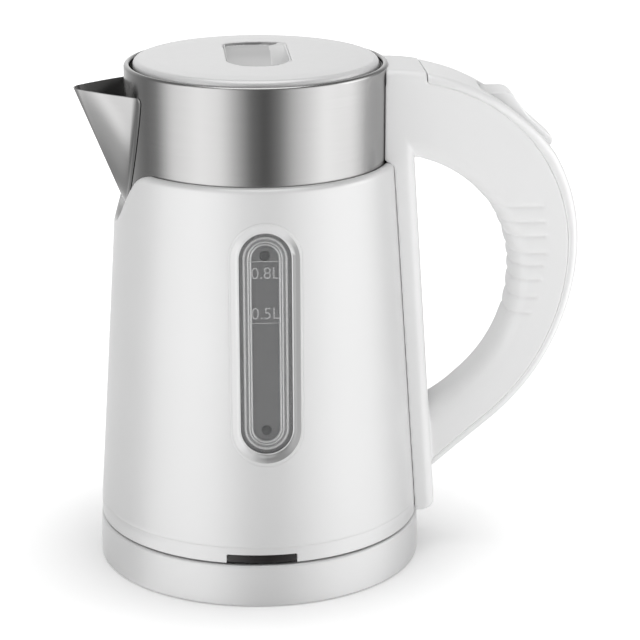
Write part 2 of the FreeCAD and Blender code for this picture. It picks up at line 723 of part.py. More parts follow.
def rounded_section(outer_angle, inner_angle, half_width, start, stop, outer_round, inner_round):
    """Closed outline across the grip from depth start to stop below its outer edge."""
    outer, inner = arch_points(outer_angle, inner_angle)
    across = (inner - outer).normalize()
    length = (inner - outer).Length
    stop = length + stop if stop <= 0 else stop
    corners = [(start, -half_width, outer_round), (start, half_width, outer_round),
               (stop, half_width, inner_round), (stop, -half_width, inner_round)]
    side = Vector(0, 1, 0)
    edges = []
    last = None
    first = None
    for i, (depth, y, radius) in enumerate(corners):
        corner = outer + across * depth + side * y
        to_last = outer + across * corners[i - 1][0] + side * corners[i - 1][1] - corner
        ahead = corners[(i + 1) % 4]
        to_next = outer + across * ahead[0] + side * ahead[1] - corner
        enter = corner + to_last.normalize() * radius
        leave = corner + to_next.normalize() * radius
        middle = corner + (to_last + to_next) * radius * (1 - math.sqrt(0.5))
        if last is not None:
            edges.append(Part.LineSegment(last, enter).toShape())
        edges.append(Part.Arc(enter, middle, leave).toShape())
        first = first or enter
        last = leave
    edges.append(Part.LineSegment(last, first).toShape())
    return Part.Wire(edges)


def grip_grooves():
    """Shallow level grooves across the inner half of the grip, for the fingers."""
    depth = s.groove_depth.value
    half = s.groove_width.value / 2
    core = arch(0, -depth, depth, 0.6, 9 - depth)
    grooves = []
    for level, end in GROOVES:
        slab = [(82, level - half), (end, level - half), (end, level + half), (82, level + half)]
        grooves.append(side_plate(slab, 20).cut(core))
    return grooves


def arch(start, stop, narrower, outer_round, inner_round):
    wires = [rounded_section(a, b, w - narrower, start, stop, outer_round, inner_round)
             for a, b, w in STATIONS]
    return Part.makeLoft(wires, True)


def side_plate(points, half_width):
    """A flat outline in the XZ plane, given thickness both ways along Y."""
    corners = [Vector(x, -half_width, z) for x, z in points]
    face = Part.Face(Part.makePolygon(corners + corners[:1]))
    return face.extrude(Vector(0, 2 * half_width, 0))


def handle_limits():
    """What the handle stands off from: the jacket's cone and the collar."""
    clear = 0.08
    foot = Part.makeCone(SURFACE.value + clear, cone_radius(s.jacket_top).value + clear,
                         s.jacket_top.value)
    collar = drum(s.vessel_radius.value + clear, s.jacket_top.value - 1, s.rim.value + 30)
    return foot.fuse(collar)


def spine():
    """Upright strip along the jacket, with rounded outer corners and a rounded lower end."""
    foot = s.spine_bottom.value
    back = [(cone_radius(level).value + s.spine_thickness.value, level) for level in (foot, 168)]
    outline = [(40, foot), back[0], back[1], (62, 182), (62, 199), (40, 199)]
    block = side_plate(outline, s.spine_half_width.value)
    block = block.makeFillet(4.5, [e for e in block.Edges if is_outer_corner(e)])
    lower = [e for e in block.Edges if e.BoundBox.ZMax < foot + 0.01 and e.BoundBox.XMin > 60]
    return block.makeFillet(3.5, lower)


def is_outer_corner(edge):
    box = edge.BoundBox
    on_side = box.YLength < 0.01 and abs(box.YMax) > s.spine_half_width.value - 0.1
    return on_side and box.XMin > 60 and box.ZLength > 20


def crown_block():
    """Block at the top of the handle against the collar, level with the grip's top."""
    radius = s.crown_radius.value
    half = s.spine_half_width.value
    brow = s.crown_level.value + radius
    shore = s.crown_level.value + math.sqrt(radius ** 2 - 12 ** 2)
    arc = Part.Arc(Vector(54, -half, brow), Vector(60.1, -half, brow - 0.24),
                   Vector(66, -half, shore)).toShape()
    corners = [Vector(66, -half, shore), Vector(66, -half, 192), Vector(40, -half, 192),
               Vector(40, -half, brow), Vector(54, -half, brow)]
    sides = [Part.LineSegment(a, b).toShape() for a, b in zip(corners, corners[1:])]
    block = Part.Face(Part.Wire([arc] + sides)).extrude(Vector(0, 2 * half, 0))
    top = [e for e in block.Edges if e.BoundBox.ZMin > 200 and e.BoundBox.YLength < 0.01]
    return block.makeFillet(3, top)


def pivot_cylinder(radius, half_length):
    start = Vector(s.pivot_x.value, -half_length, s.pivot_level.value)
    return Part.makeCylinder(radius, 2 * half_length, start, Vector(0, 1, 0))


def handle():
    """Grip with its spine, hollow behind the cover strip, and the strip itself."""
    seam = s.cover_thickness.value + s.seam_gap.value
    wall = s.handle_wall.value
    limits = handle_limits()
    post = spine()
    right_of_seam = side_plate([(66.2, 10), (66.2, 215), (150, 215), (150, 10)], 31)
    beside_seam = side_plate([(66.4, 10), (66.4, 215), (150, 215), (150, 10)], 31)
    behind_spine = side_plate([(74, 40), (69, 100), (69, 215), (150, 215), (150, 40)], 30)
    body = arch(seam - 1, 0, 0, 0.6, 9).fuse([post, crown_block()])
    hollow = arch(seam - 2, -wall, wall, 0.5, 6).common(behind_spine)
    switch_room = side_plate([(56, 177), (56, 193), (88, 193), (88, 177)], 9)
    strip_room = arch(-4, seam, -1, 3, 0.4).common(right_of_seam).cut(post)
    body = body.cut(hollow).cut(switch_room).cut(strip_room).cut(limits)
    body = body.cut(pivot_cylinder(s.pin_radius.value, PIN_REACH + 0.1))
    bore = s.tube_outer.value + 0.05
    body = body.cut(Part.makeCylinder(bore, 16, Vector(48, 0, STEAM_LEVEL), Vector(1, 0, 0)))
    for level in SCREW_LEVELS:
        body = body.cut(Part.makeCylinder(1.4, 12, Vector(60, 0, level), Vector(1, 0, 0)))
    for groove in grip_grooves():
        body = body.cut(groove)
    cover = arch(0, s.cover_thickness.value, 0, 3, 0.4).common(beside_seam)
    slot = side_plate(lever_outline(s.running_gap.value + 0.35, 12), s.lever_half_width.value + 0.4)
    cover = cover.cut(post).cut(slot).cut(pivot_cylinder(s.pin_radius.value + 0.3, 20))
    shaped("handle_body", largest(body))
    shaped("handle_cover", largest(cover))


def largest(shape):
    return max(shape.Solids, key=lambda solid: solid.Volume)


def lever_outline(grow=0.0, down=0.0):
    """Side view of the switch: a wedge standing proud of the grip's outer edge."""
    upper = [(90.4 - grow, 194.2 + grow), (96.5, 194.8 + grow), (100.4 + grow * 0.4, 193.6 + grow),
             (116.9 + grow, 176.8 + grow), (117.2 + grow, 173.4)]
    lower = [(112.4 + grow * 0.8 - down * 0.4, 169.4 - down), (87.6 - grow - down, 188.2 - down * 0.4)]
    return upper + lower


def switch():
    """Rocking lever in the top of the grip, its pin, and the steam switch it works."""
    lever = side_plate(lever_outline(), s.lever_half_width.value)
    stem = side_plate([(93, 186), (109, 172), (103, 177.5), (98.5, 178.2)], 4)
    hub = pivot_cylinder(s.pin_radius.value + 2.0, 6)
    lever = lever.fuse([hub, stem]).cut(pivot_cylinder(s.pin_radius.value + 0.05, 20))
    top = [e for e in lever.Edges if e.BoundBox.ZMin > 172 and e.BoundBox.YLength < 0.01
           and abs(e.BoundBox.YMax) > s.lever_half_width.value - 0.01]
    top = [e for e in top if e.CenterOfMass.x + e.CenterOfMass.z > 285.5]
    shaped("switch_lever", largest(lever.makeFillet(1.2, top)))
    shaped("switch_pin", pivot_cylinder(s.pin_radius.value, PIN_REACH))
    unit = Piece("steam_switch")
    unit.pad("XZ_Plane", -7, 14, rectangle(14, 14, 77.6, 184.6, radius=1))
    tube = Piece("steam_tube")
    tube.pad("YZ_Plane", s.vessel_radius - 2.5, s.tube_length, (0, STEAM_LEVEL, s.tube_outer),
             (0, STEAM_LEVEL, s.tube_inner))


def handle_screws():
    piece = Piece("handle_screws")
    for level in SCREW_LEVELS:
        inside = cone_radius(level, s.jacket_wall + 0.4)
        piece.pad("YZ_Plane", inside - 1.8, 1.8, (0, level, 3.2))
        piece.pad("YZ_Plane", inside, 7, (0, level, 1.4))


# ------------------------------------------------------------------------------ lid

def lid_cap():
    """Top disc with a rounded edge and the opening of the finger recess."""
    piece = Piece("lid_cap")
    under = s.lid_top - 2.4
    skirt = s.lid_radius - 2.2
    piece.turn([(0, under), (skirt, under), (skirt, s.lid_edge), (s.lid_radius, s.lid_edge),
                (s.lid_radius, s.lid_top - 0.3, 2.3), (0, s.lid_top + 0.3)])
    recess = rectangle(s.pocket_width, s.pocket_length, radius=s.pocket_round)
    piece.pocket("XY_Plane", 200, 20, recess, forward=True)


def lid_body():
    """Hollow plug below the cap, and the tub of the finger recess standing in it."""
    under = s.lid_top - 2.5
    brim = s.lid_edge - 0.1
    floor = s.plug_bottom + s.plug_wall
    inside = s.plug_radius - s.plug_wall
    ledge = s.plug_radius + 0.7
    piece = Piece("lid_body")
    piece.turn([(0, s.plug_bottom), (s.plug_radius, s.plug_bottom, 2), (s.plug_radius, brim),
                (inside, brim), (inside, floor), (0, floor)])
    piece.turn([(s.plug_radius - 0.1, s.seal_level), (s.plug_radius - 0.1, s.seal_level - 2),
                (ledge, s.seal_level - 2), (ledge, s.seal_level)])
    wall = s.plug_wall * 2
    outside = rectangle(s.pocket_width + wall, s.pocket_length + wall,
                        radius=s.pocket_round + s.plug_wall)
    recess = rectangle(s.pocket_width, s.pocket_length, radius=s.pocket_round)
    tub = Piece("lid_recess")
    tub.pad("XY_Plane", floor, under - floor, outside)
    tub.pocket("XY_Plane", s.pocket_floor, 20, recess, forward=True)


def lid_seal():
    """Soft ring round the plug."""
    piece = Piece("lid_seal")
    bottom = s.seal_level
    top = bottom + 3.4
    piece.turn([(s.plug_radius, bottom), (s.plug_radius + 0.9, bottom),
                (s.rim_radius - 0.4, bottom + 2), (s.plug_radius + 0.9, top),
                (s.plug_radius, top)])


BUILDERS = (base_cover, base_plate, base_feet, base_screws, base_connector, base_contacts,
            cord_gland, kettle_coupler, coupler_pins, bottom_cover, bottom_screws,
            heater_plate, heater_tube, heater_terminals, thermostat, jacket, vessel,
            vessel_ring, indicator, window_frame, window_pane, gauge_tube, spout, handle,
            switch, handle_screws, lid_cap, lid_body, lid_seal)


def main():
    for build in BUILDERS:
        build()
    doc.recompute()
    for item in doc.Objects:
        if "Invalid" in item.State or "Error" in item.State:
            raise RuntimeError(f"{item.Name} is in state {item.State}")
    kinds = ("PartDesign::Body", "Part::Torus")
    parts = [o for o in doc.Objects if o.TypeId in kinds or o.TypeId == "Part::Feature"]
    for part in parts:
        if part.Shape.isNull() or not part.Shape.isValid():
            raise RuntimeError(f"{part.Label} has no valid shape")
    os.makedirs("parts", exist_ok=True)
    for part in parts:
        part.Shape.exportStep(f"parts/{part.Label}.step")
        solids = len(part.Shape.Solids)
        print(f"{part.Label}: {solids} solid(s), {part.Shape.Volume:.0f} mm3")


main()
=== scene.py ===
"""Looks of the cordless kettle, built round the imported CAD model. Metres, +Z up.

The spout points along -X, the handle along +X and the water window faces -Y.
"""
import json
import math

import bmesh
import bpy
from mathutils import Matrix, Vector

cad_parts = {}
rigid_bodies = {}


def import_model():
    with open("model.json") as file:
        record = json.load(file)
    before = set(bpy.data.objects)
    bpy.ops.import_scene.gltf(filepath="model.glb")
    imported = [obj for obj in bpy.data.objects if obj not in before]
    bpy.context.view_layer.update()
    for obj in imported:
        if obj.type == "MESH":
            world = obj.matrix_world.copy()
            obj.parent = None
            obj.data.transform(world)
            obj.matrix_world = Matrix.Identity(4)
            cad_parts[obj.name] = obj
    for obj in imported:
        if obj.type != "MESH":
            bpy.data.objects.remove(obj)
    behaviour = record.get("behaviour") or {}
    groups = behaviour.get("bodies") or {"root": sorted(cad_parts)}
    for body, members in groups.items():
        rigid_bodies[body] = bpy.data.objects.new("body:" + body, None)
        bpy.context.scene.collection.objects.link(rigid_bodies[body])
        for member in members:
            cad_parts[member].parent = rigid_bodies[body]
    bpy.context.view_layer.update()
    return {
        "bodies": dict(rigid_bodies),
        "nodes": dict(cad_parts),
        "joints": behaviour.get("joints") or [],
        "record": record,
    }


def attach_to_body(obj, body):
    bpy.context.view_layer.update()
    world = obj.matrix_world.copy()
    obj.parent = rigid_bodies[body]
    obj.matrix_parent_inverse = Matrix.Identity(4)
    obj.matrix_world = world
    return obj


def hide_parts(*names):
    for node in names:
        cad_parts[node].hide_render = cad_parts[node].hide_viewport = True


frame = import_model()
NODES = frame["nodes"]
MM = 0.001


# ------------------------------------------------------------------ camera and stage

def make_camera():
    """The photograph's camera, from the circles of the rim, the waist and the base."""
    data = bpy.data.cameras.new("camera")
    data.lens = 133.0
    data.sensor_width = 36.0
    camera = bpy.data.objects.new("camera", data)
    camera.location = (-0.0487, -0.9208, 0.3874)
    camera.rotation_euler = (math.radians(72.57), 0, math.radians(-4.6))
    bpy.context.scene.collection.objects.link(camera)
    bpy.context.scene.camera = camera


class Shader:
    """A node tree with short ways to add and join nodes."""

    def __init__(self, tree):
        self.tree = tree
        self.tree.nodes.clear()

    def add(self, kind, **values):
        node = self.tree.nodes.new(kind)
        for name, value in values.items():
            setattr(node, name, value)
        return node

    def join(self, source, target):
        self.tree.links.new(source, target)

    def noise(self, scale, detail=2.0, roughness=0.5, stretch=None):
        """Noise in object coordinates, stretched along the axes if asked."""
        place = self.add("ShaderNodeTexCoord")
        node = self.add("ShaderNodeTexNoise")
        node.inputs["Scale"].default_value = scale
        node.inputs["Detail"].default_value = detail
        node.inputs["Roughness"].default_value = roughness
        source = place.outputs["Object"]
        if stretch:
            mapping = self.add("ShaderNodeMapping")
            mapping.inputs["Scale"].default_value = stretch
            self.join(source, mapping.inputs["Vector"])
            source = mapping.outputs["Vector"]
        self.join(source, node.inputs["Vector"])
        return node.outputs["Fac"]

    def spread(self, source, low, high, start=0.0, stop=1.0):
        """Carries a value from the range start to stop into low to high."""
        node = self.add("ShaderNodeMapRange")
        node.inputs["From Min"].default_value = start
        node.inputs["From Max"].default_value = stop
        node.inputs["To Min"].default_value = low
        node.inputs["To Max"].default_value = high
        self.join(source, node.inputs["Value"])
        return node.outputs["Result"]

    def ramp(self, source, stops):
        node = self.add("ShaderNodeValToRGB")
        band = node.color_ramp
        while len(band.elements) > 1:
            band.elements.remove(band.elements[-1])
        band.elements[0].position = stops[0][0]
        band.elements[0].color = (*stops[0][1], 1)
        for position, color in stops[1:]:
            band.elements.new(position).color = (*color, 1)
        self.join(source, node.inputs["Fac"])
        return node.outputs["Color"]

    def mix(self, share, first, second):
        node = self.add("ShaderNodeMix", data_type="RGBA")
        self.join(share, node.inputs[0])
        self.join(first, node.inputs[6])
        self.join(second, node.inputs[7])
        return node.outputs[2]

    def bump(self, height, strength, distance):
        node = self.add("ShaderNodeBump")
        node.inputs["Strength"].default_value = strength
        node.inputs["Distance"].default_value = distance
        self.join(height, node.inputs["Height"])
        return node.outputs["Normal"]


AMBIENT = 0.42                           # brightness of the surroundings to matt surfaces
STEEL = 0.34                             # how much of the light the steel returns
# what gloss sees round the kettle: azimuth in degrees (0 in front, 90 right), brightness.
# STUDIO is level with it, TABLE is a little below
RIGHT = ((-53, 0.80), (-34, 0.72), (-21, 0.40), (-7, 0.10), (6, 0.06), (17, 0.16), (29, 0.44),
         (57, 0.84), (88, 0.72), (110, 0.28), (140, 0.10), (155, 0.20), (179.9, 0.40))
STUDIO = ((-180, 0.40), (-150, 0.25), (-130, 0.165), (-113, 0.11), (-98, 0.16),
          (-80, 0.62)) + RIGHT
TABLE = ((-180, 0.30), (-152, 0.12), (-130, 0.20), (-115, 0.30), (-104, 0.34), (-97, 0.60),
         (-91, 0.86), (-82, 0.66)) + RIGHT
OVERHEAD = 0.10                          # what gloss sees straight above
UNDERFOOT = 0.14                         # and straight below


def make_world():
    """White to the camera, even to matt surfaces, and bands of soft light to gloss."""
    world = bpy.data.worlds.new("studio")
    bpy.context.scene.world = world
    world.use_nodes = True
    sh = Shader(world.node_tree)
    place = sh.add("ShaderNodeTexCoord")
    parts = sh.add("ShaderNodeSeparateXYZ")
    sh.join(place.outputs["Generated"], parts.inputs["Vector"])
    turn = sh.add("ShaderNodeMath", operation="ARCTAN2")
    sh.join(parts.outputs["X"], turn.inputs[0])
    sh.join(parts.outputs["Y"], turn.inputs[1])
    share = sh.add("ShaderNodeMapRange")
    share.inputs["From Min"].default_value = -math.pi
    share.inputs["From Max"].default_value = math.pi
    sh.join(turn.outputs["Value"], share.inputs["Value"])

    def band(table):
        turned = sorted((-azimuth % 360 / 360, level) for azimuth, level in table)
        return sh.ramp(share.outputs["Result"], [(at, (v, v, v)) for at, v in turned])

    def blend(first, second, start, stop):
        return sh.mix(sh.spread(parts.outputs["Z"], 0, 1, start, stop), first, second)

    bands = blend(band(STUDIO), band(((0, OVERHEAD),)), 0.3, 0.65)
    bands = blend(bands, band(TABLE), -0.36, -0.44)
    bands = blend(bands, band(((0, UNDERFOOT),)), -0.60, -0.72)
    gloss = sh.add("ShaderNodeBackground")
    gloss.inputs["Strength"].default_value = 1 / STEEL
    sh.join(bands, gloss.inputs["Color"])
    plain = sh.add("ShaderNodeBackground")
    plain.inputs["Color"].default_value = (1, 1, 1, 1)
    plain.inputs["Strength"].default_value = AMBIENT
    path = sh.add("ShaderNodeLightPath")
    seen = sh.add("ShaderNodeBackground")
    seen.inputs["Color"].default_value = (1, 1, 1, 1)
    first = sh.add("ShaderNodeMixShader")
    sh.join(path.outputs["Is Glossy Ray"], first.inputs[0])
    sh.join(plain.outputs[0], first.inputs[1])
    sh.join(gloss.outputs[0], first.inputs[2])
    last = sh.add("ShaderNodeMixShader")
    sh.join(path.outputs["Is Camera Ray"], last.inputs[0])
    sh.join(first.outputs[0], last.inputs[1])
    sh.join(seen.outputs[0], last.inputs[2])
    out = sh.add("ShaderNodeOutputWorld")
    sh.join(last.outputs[0], out.inputs["Surface"])


def soft_box(name, azimuth, elevation, distance, width, height, power):
    """An area light aimed at the kettle's middle. Azimuth 0 is the front, 90 the right."""
    data = bpy.data.lights.new(name, "AREA")
    data.shape = "RECTANGLE"
    data.size = width
    data.size_y = height
    data.energy = power
    light = bpy.data.objects.new(name, data)
    a = math.radians(azimuth)
    e = math.radians(elevation)
    middle = Vector((0, 0, 0.1))
    offset = Vector((math.sin(a) * math.cos(e), -math.cos(a) * math.cos(e), math.sin(e)))
    light.location = middle + offset * distance
    light.rotation_euler = (-offset).to_track_quat("-Z", "Y").to_euler()
    bpy.context.scene.collection.objects.link(light)
    return light


def make_stage():
    """A pale round floor whose painted glow grows away from the kettle, whitest far off and dimmer
    as painted shade round the kettle, and three soft lights.
    """
    mesh = bpy.data.meshes.new("floor")
    shape = bmesh.new()
    bmesh.ops.create_circle(shape, cap_ends=True, radius=3.0, segments=96)
    shape.to_mesh(mesh)
    shape.free()
    floor = bpy.data.objects.new("floor", mesh)
    bpy.context.scene.collection.objects.link(floor)
    floor.visible_glossy = False
    material = bpy.data.materials.new("floor")
    material.use_nodes = True
    sh = Shader(material.node_tree)
    cloth = sh.add("ShaderNodeBsdfDiffuse")
    tint = sh.ramp(sh.noise(3.0), ((0.0, (0.93, 0.93, 0.93)), (1.0, (0.95, 0.95, 0.95))))
    sh.join(tint, cloth.inputs["Color"])
    place = sh.add("ShaderNodeTexCoord")
    far = sh.add("ShaderNodeVectorMath", operation="LENGTH")
    sh.join(place.outputs["Object"], far.inputs[0])
    glow = sh.add("ShaderNodeEmission")
    # distance from the middle in metres, brightness of the painted glow, low near the kettle as
    # painted shade
    levels = ((0.065, 0.11), (0.09, 0.26), (0.14, 0.5), (0.3, 0.66), (0.7, 0.85))
    sh.join(sh.ramp(far.outputs["Value"], [(at, (v, v, v)) for at, v in levels]),
            glow.inputs["Color"])
    both = sh.add("ShaderNodeAddShader")
    sh.join(cloth.outputs[0], both.inputs[0])
    sh.join(glow.outputs[0], both.inputs[1])
    out = sh.add("ShaderNodeOutputMaterial")
    sh.join(both.outputs[0], out.inputs["Surface"])
    mesh.materials.append(material)
    soft_box("key_left", -50, 38, 1.3, 0.9, 0.9, 1.5)
    soft_box("fill_right", 92, 18, 1.3, 0.8, 0.9, 2.2)
    soft_box("top", 0, 88, 1.3, 1.0, 1.0, 7)


# ------------------------------------------------------------------------ materials

def surface(name):
    """A new material: its shader helper and its Principled node."""
    material = bpy.data.materials.new(name)
    material.use_nodes = True
    sh = Shader(material.node_tree)
    body = sh.add("ShaderNodeBsdfPrincipled")
    out = sh.add("ShaderNodeOutputMaterial")
    sh.join(body.outputs[0], out.inputs["Surface"])
    return material, sh, body


def darker(color, share=0.97):
    return tuple(c * share for c in color)


def mould_finish(sh, body, roughness, grain, gloss):
    """What every moulding has: uneven soft gloss and a very fine texture."""
    sh.join(sh.spread(sh.noise(260.0, 2.0), roughness - 0.04, roughness + 0.05),
            body.inputs["Roughness"])
    sh.join(sh.bump(sh.noise(2400.0, 1.0), grain, 0.0002), body.inputs["Normal"])
    body.inputs["IOR"].default_value = gloss


def moulded(name, color, roughness=0.32, grain=0.03, gloss=1.45):
    """Injection-moulded plastic with faint mottling."""
    material, sh, body = surface(name)
    sh.join(sh.ramp(sh.noise(18.0, 3.0), ((0.3, darker(color)), (0.7, color))),
            body.inputs["Base Color"])
    mould_finish(sh, body, roughness, grain, gloss)
    return material


def shaded(name, color, roughness=0.32):
    """Moulded plastic with painted shade: darker where the mesh's shade is low."""
    material, sh, body = surface(name)
    depth = sh.add("ShaderNodeAttribute")
    depth.attribute_name = "shade"
    sh.join(sh.ramp(depth.outputs["Fac"], ((0.0, darker(color, 0.2)), (1.0, color))),
            body.inputs["Base Color"])
    mould_finish(sh, body, roughness, 0.02, 2.2)
    return material


def brushed(name, color, roughness=0.24, lines=(40, 40, 2600), strength=0.12):
    """Satin metal with fine lines that run round the part."""
    material, sh, body = surface(name)
    grain = sh.noise(1.0, 3.0, 0.6, stretch=lines)
    sh.join(sh.ramp(grain, ((0.35, darker(color)), (0.65, color))), body.inputs["Base Color"])
    sh.join(sh.spread(grain, roughness - 0.03, roughness + 0.03), body.inputs["Roughness"])
    sh.join(sh.bump(grain, strength, 0.00004), body.inputs["Normal"])
    body.inputs["Metallic"].default_value = 1.0
    return material


def rubbery(name, color):
    """Silicone or rubber: matt, with a slightly mottled skin."""
    material, sh, body = surface(name)
    pale = tuple(min(1, c * 1.15 + 0.01) for c in color)
    sh.join(sh.ramp(sh.noise(90.0, 4.0), ((0.3, color), (0.7, pale))), body.inputs["Base Color"])
    sh.join(sh.spread(sh.noise(700.0), 0.55, 0.7), body.inputs["Roughness"])
    sh.join(sh.bump(sh.noise(1500.0), 0.1, 0.0002), body.inputs["Normal"])
    return material


def clear(name, color, alpha, roughness=0.1):
    """Clear or printed film: mostly see-through, with a slight haze."""
    material, sh, body = surface(name)
    sh.join(sh.ramp(sh.noise(30.0), ((0.3, color), (0.7, darker(color)))),
            body.inputs["Base Color"])
    sh.join(sh.spread(sh.noise(120.0), roughness, roughness + 0.03), body.inputs["Roughness"])
    body.inputs["Alpha"].default_value = alpha
    return material


def paint(material, *nodes):
    """Gives CAD nodes that stay visible a material of this scene."""
    for node in nodes:
        data = NODES[node].data
        data.materials.clear()
        data.materials.append(material)


def make_materials():
    """Materials of the pieces by short name; the hidden CAD nodes get theirs here too."""
    mat = {
        "white": moulded("white_plastic", (0.70, 0.70, 0.70), 0.30, 0.02, 2.1),
        # the jacket's white plastic, made paler here as painted light on the grip
        "handle": moulded("handle_plastic_and_painted_light", (0.83, 0.83, 0.83), 0.55, 0.02, 2.2),
        "grey": moulded("inner_plastic", (0.62, 0.62, 0.61), 0.45),
        "black": moulded("dark_plastic", (0.03, 0.03, 0.032), 0.5, 0.1),
        "steel": brushed("satin_steel", (STEEL, STEEL * 0.995, STEEL * 0.99), 0.2, strength=0.02),
        "lever": shaded("switch_plastic", (0.94, 0.94, 0.94), 0.45),
        # the jacket's white plastic, made paler still as painted light where the strip faces the
        # lights
        "strip": moulded("strip_plastic_and_painted_light", (0.85, 0.85, 0.85), 0.35, 0.02, 2.2),
        "tub": shaded("recess_plastic", (0.76, 0.76, 0.76), 0.4),
        "surround": shaded("surround_plastic", (0.72, 0.72, 0.72)),
        # dark plastic of the gauge's slot, darker still as painted shade deep in the slot
        "gauge": moulded("gauge_plastic_and_shade", (0.09, 0.09, 0.09), 0.5),
        # near black: painted shade inside the ports' holes
        "hole": moulded("port_painted_shade", (0.012, 0.012, 0.012), 0.8, 0.05, 1.2),
        # dark grey of the gauge's bed: painted shadow round the ridges, under the surround's inner
        # edge
        "bed": moulded("bed_painted_shadow", (0.20, 0.20, 0.20), 0.4),
        "ridge": shaded("ridge_plastic", (0.46, 0.46, 0.46)),
        "mark": clear("mark_print", (0.95, 0.95, 0.95), 0.16, 0.4),
        "clear": clear("clear_plastic", (0.9, 0.91, 0.92), 0.06),
    }
    paint(mat["grey"], "base_plate", "bottom_cover", "lid_body", "steam_tube")
    paint(mat["black"], "kettle_coupler", "thermostat", "steam_switch")
    paint(mat["steel"], "vessel_base")
    paint(brushed("aluminium", (0.75, 0.75, 0.76), 0.4, (300, 300, 300)),
          "heater_plate", "heater_tube")
    paint(brushed("contact_metal", (0.80, 0.60, 0.30), 0.3, (500, 500, 500)),
          "base_contacts", "coupler_pins", "heater_terminals", "bimetal_disc")
    paint(brushed("screw_steel", (0.55, 0.55, 0.56), 0.35, (900, 900, 900)),
          "base_screws", "bottom_screws", "handle_screws", "switch_pin")
    paint(rubbery("silicone", (0.55, 0.55, 0.53)), "vessel_ring", "lid_seal")
    paint(rubbery("foot_rubber", (0.03, 0.03, 0.03)), "base_feet")
    paint(moulded("smoked_lens", (0.02, 0.018, 0.018), 0.12, 0.0), "indicator_lens")
    paint(moulded("lamp_plastic", (0.8, 0.72, 0.6), 0.3), "indicator_lamps")
    return mat


# ------------------------------------------------------------------ mesh helpers (mm)

def link(name, mesh, material, sharp=32):
    """A new object round a mesh, smooth except at edges sharper than sharp degrees."""
    mesh.materials.append(material)
    mesh.shade_smooth()
    mesh.set_sharp_from_angle(angle=math.radians(sharp))
    piece = bpy.data.objects.new(name, mesh)
    bpy.context.scene.collection.objects.link(piece)
    return piece


def solid(name, vertices, faces, material, sharp=32):
    """A mesh from points in millimetres, cleaned and with its faces turned outwards."""
    mesh = bpy.data.meshes.new(name)
    mesh.from_pydata([tuple(c * MM for c in v) for v in vertices], [], faces)
    shape = bmesh.new()
    shape.from_mesh(mesh)
    bmesh.ops.remove_doubles(shape, verts=shape.verts, dist=1e-6)
    bmesh.ops.recalc_face_normals(shape, faces=shape.faces)
    shape.to_mesh(mesh)
    shape.free()
    return link(name, mesh, material, sharp)


def rounded(corners, steps=6):
    """Closed outline through corners (a, b) or (a, b, radius), the arcs cut into steps."""
    points = []
    count = len(corners)
    for i, corner in enumerate(corners):
        here = Vector(corner[:2])
        if len(corner) < 3 or corner[2] == 0:
            points.append(here)
            continue
        before = (Vector(corners[i - 1][:2]) - here).normalized()
        after = (Vector(corners[(i + 1) % count][:2]) - here).normalized()
        half = before.angle(after) / 2
        reach = corner[2] / math.tan(half)
        centre = here + (before + after).normalized() * (corner[2] / math.sin(half))
        start = here + before * reach - centre
        stop = here + after * reach - centre
        first = math.atan2(start.y, start.x)
        turn = (math.atan2(stop.y, stop.x) - first + math.pi) % (2 * math.pi) - math.pi
        for k in range(steps + 1):
            a = first + turn * k / steps
            points.append(centre + Vector((math.cos(a), math.sin(a))) * corner[2])
    return [(p.x, p.y) for p in points]


def sheet(name, rows, material, wrap_rows=False, wrap_columns=False, caps=False, sharp=32):
    """Quads over a grid of points; wrapped ways close on themselves."""
    across = len(rows[0])
    down = len(rows)
    vertices = [p for row in rows for p in row]
    faces = []
    for i in range(down if wrap_rows else down - 1):
        for j in range(across if wrap_columns else across - 1):
            a = i * across + j
            b = i * across + (j + 1) % across
            c = (i + 1) % down * across
            faces.append((a, b, c + (j + 1) % across, c + j))
    if caps:
        faces.append(tuple(range(across)))
        faces.append(tuple((down - 1) * across + j for j in reversed(range(across))))
    return solid(name, vertices, faces, material, sharp)


def lathe(name, outline, material, segments=288, sharp=32):
    """A closed outline (r, z) turned round the Z axis."""
    rows = []
    for k in range(segments):
        a = 2 * math.pi * k / segments
        rows.append([(r * math.cos(a), r * math.sin(a), z) for r, z in outline])
    return sheet(name, rows, material, wrap_rows=True, wrap_columns=True, sharp=sharp)


def prism(name, outline, low, high, lay, material, sharp=32):
    """An outline (a, b) from low to high; lay(a, b, c) gives each point in space."""
    rows = [[lay(a, b, c) for a, b in outline] for c in (low, high)]
    return sheet(name, rows, material, wrap_columns=True, caps=True, sharp=sharp)


def upright(a, b, c):
    """Lays an outline in the XZ plane, its thickness along Y."""
    return (a, c, b)


def side_slab(name, outline, half, material):
    """An outline in the XZ plane with thickness both ways along Y."""
    return prism(name, outline, -half, half, upright, material)


def ring_outline(radius, x, z, steps=48):
    """A circle about (x, z)."""
    return [(x + radius * math.cos(2 * math.pi * k / steps),
             z + radius * math.sin(2 * math.pi * k / steps)) for k in range(steps)]


def combine(piece, operation, tool):
    """Notes on a piece that it will be joined with a tool, cut by it or kept inside it."""
    boolean = piece.modifiers.new(operation.lower(), "BOOLEAN")
    boolean.operation = operation
    boolean.solver = "MANIFOLD"
    boolean.object = tool


def cut(piece, *tools, operation="DIFFERENCE", sharp=32):
    """Takes tools away from a piece, or keeps what is inside them, and removes them."""
    for tool in tools:
        combine(piece, operation, tool)
    settle(piece, sharp)
    for tool in tools:
        bpy.data.objects.remove(tool)
    return piece


def settle(piece, sharp=32):
    """Turns a piece's modifiers into plain mesh."""
    graph = bpy.context.evaluated_depsgraph_get()
    mesh = bpy.data.meshes.new_from_object(piece.evaluated_get(graph))
    piece.modifiers.clear()
    piece.data = mesh
    mesh.shade_smooth()
    mesh.set_sharp_from_angle(angle=math.radians(sharp))


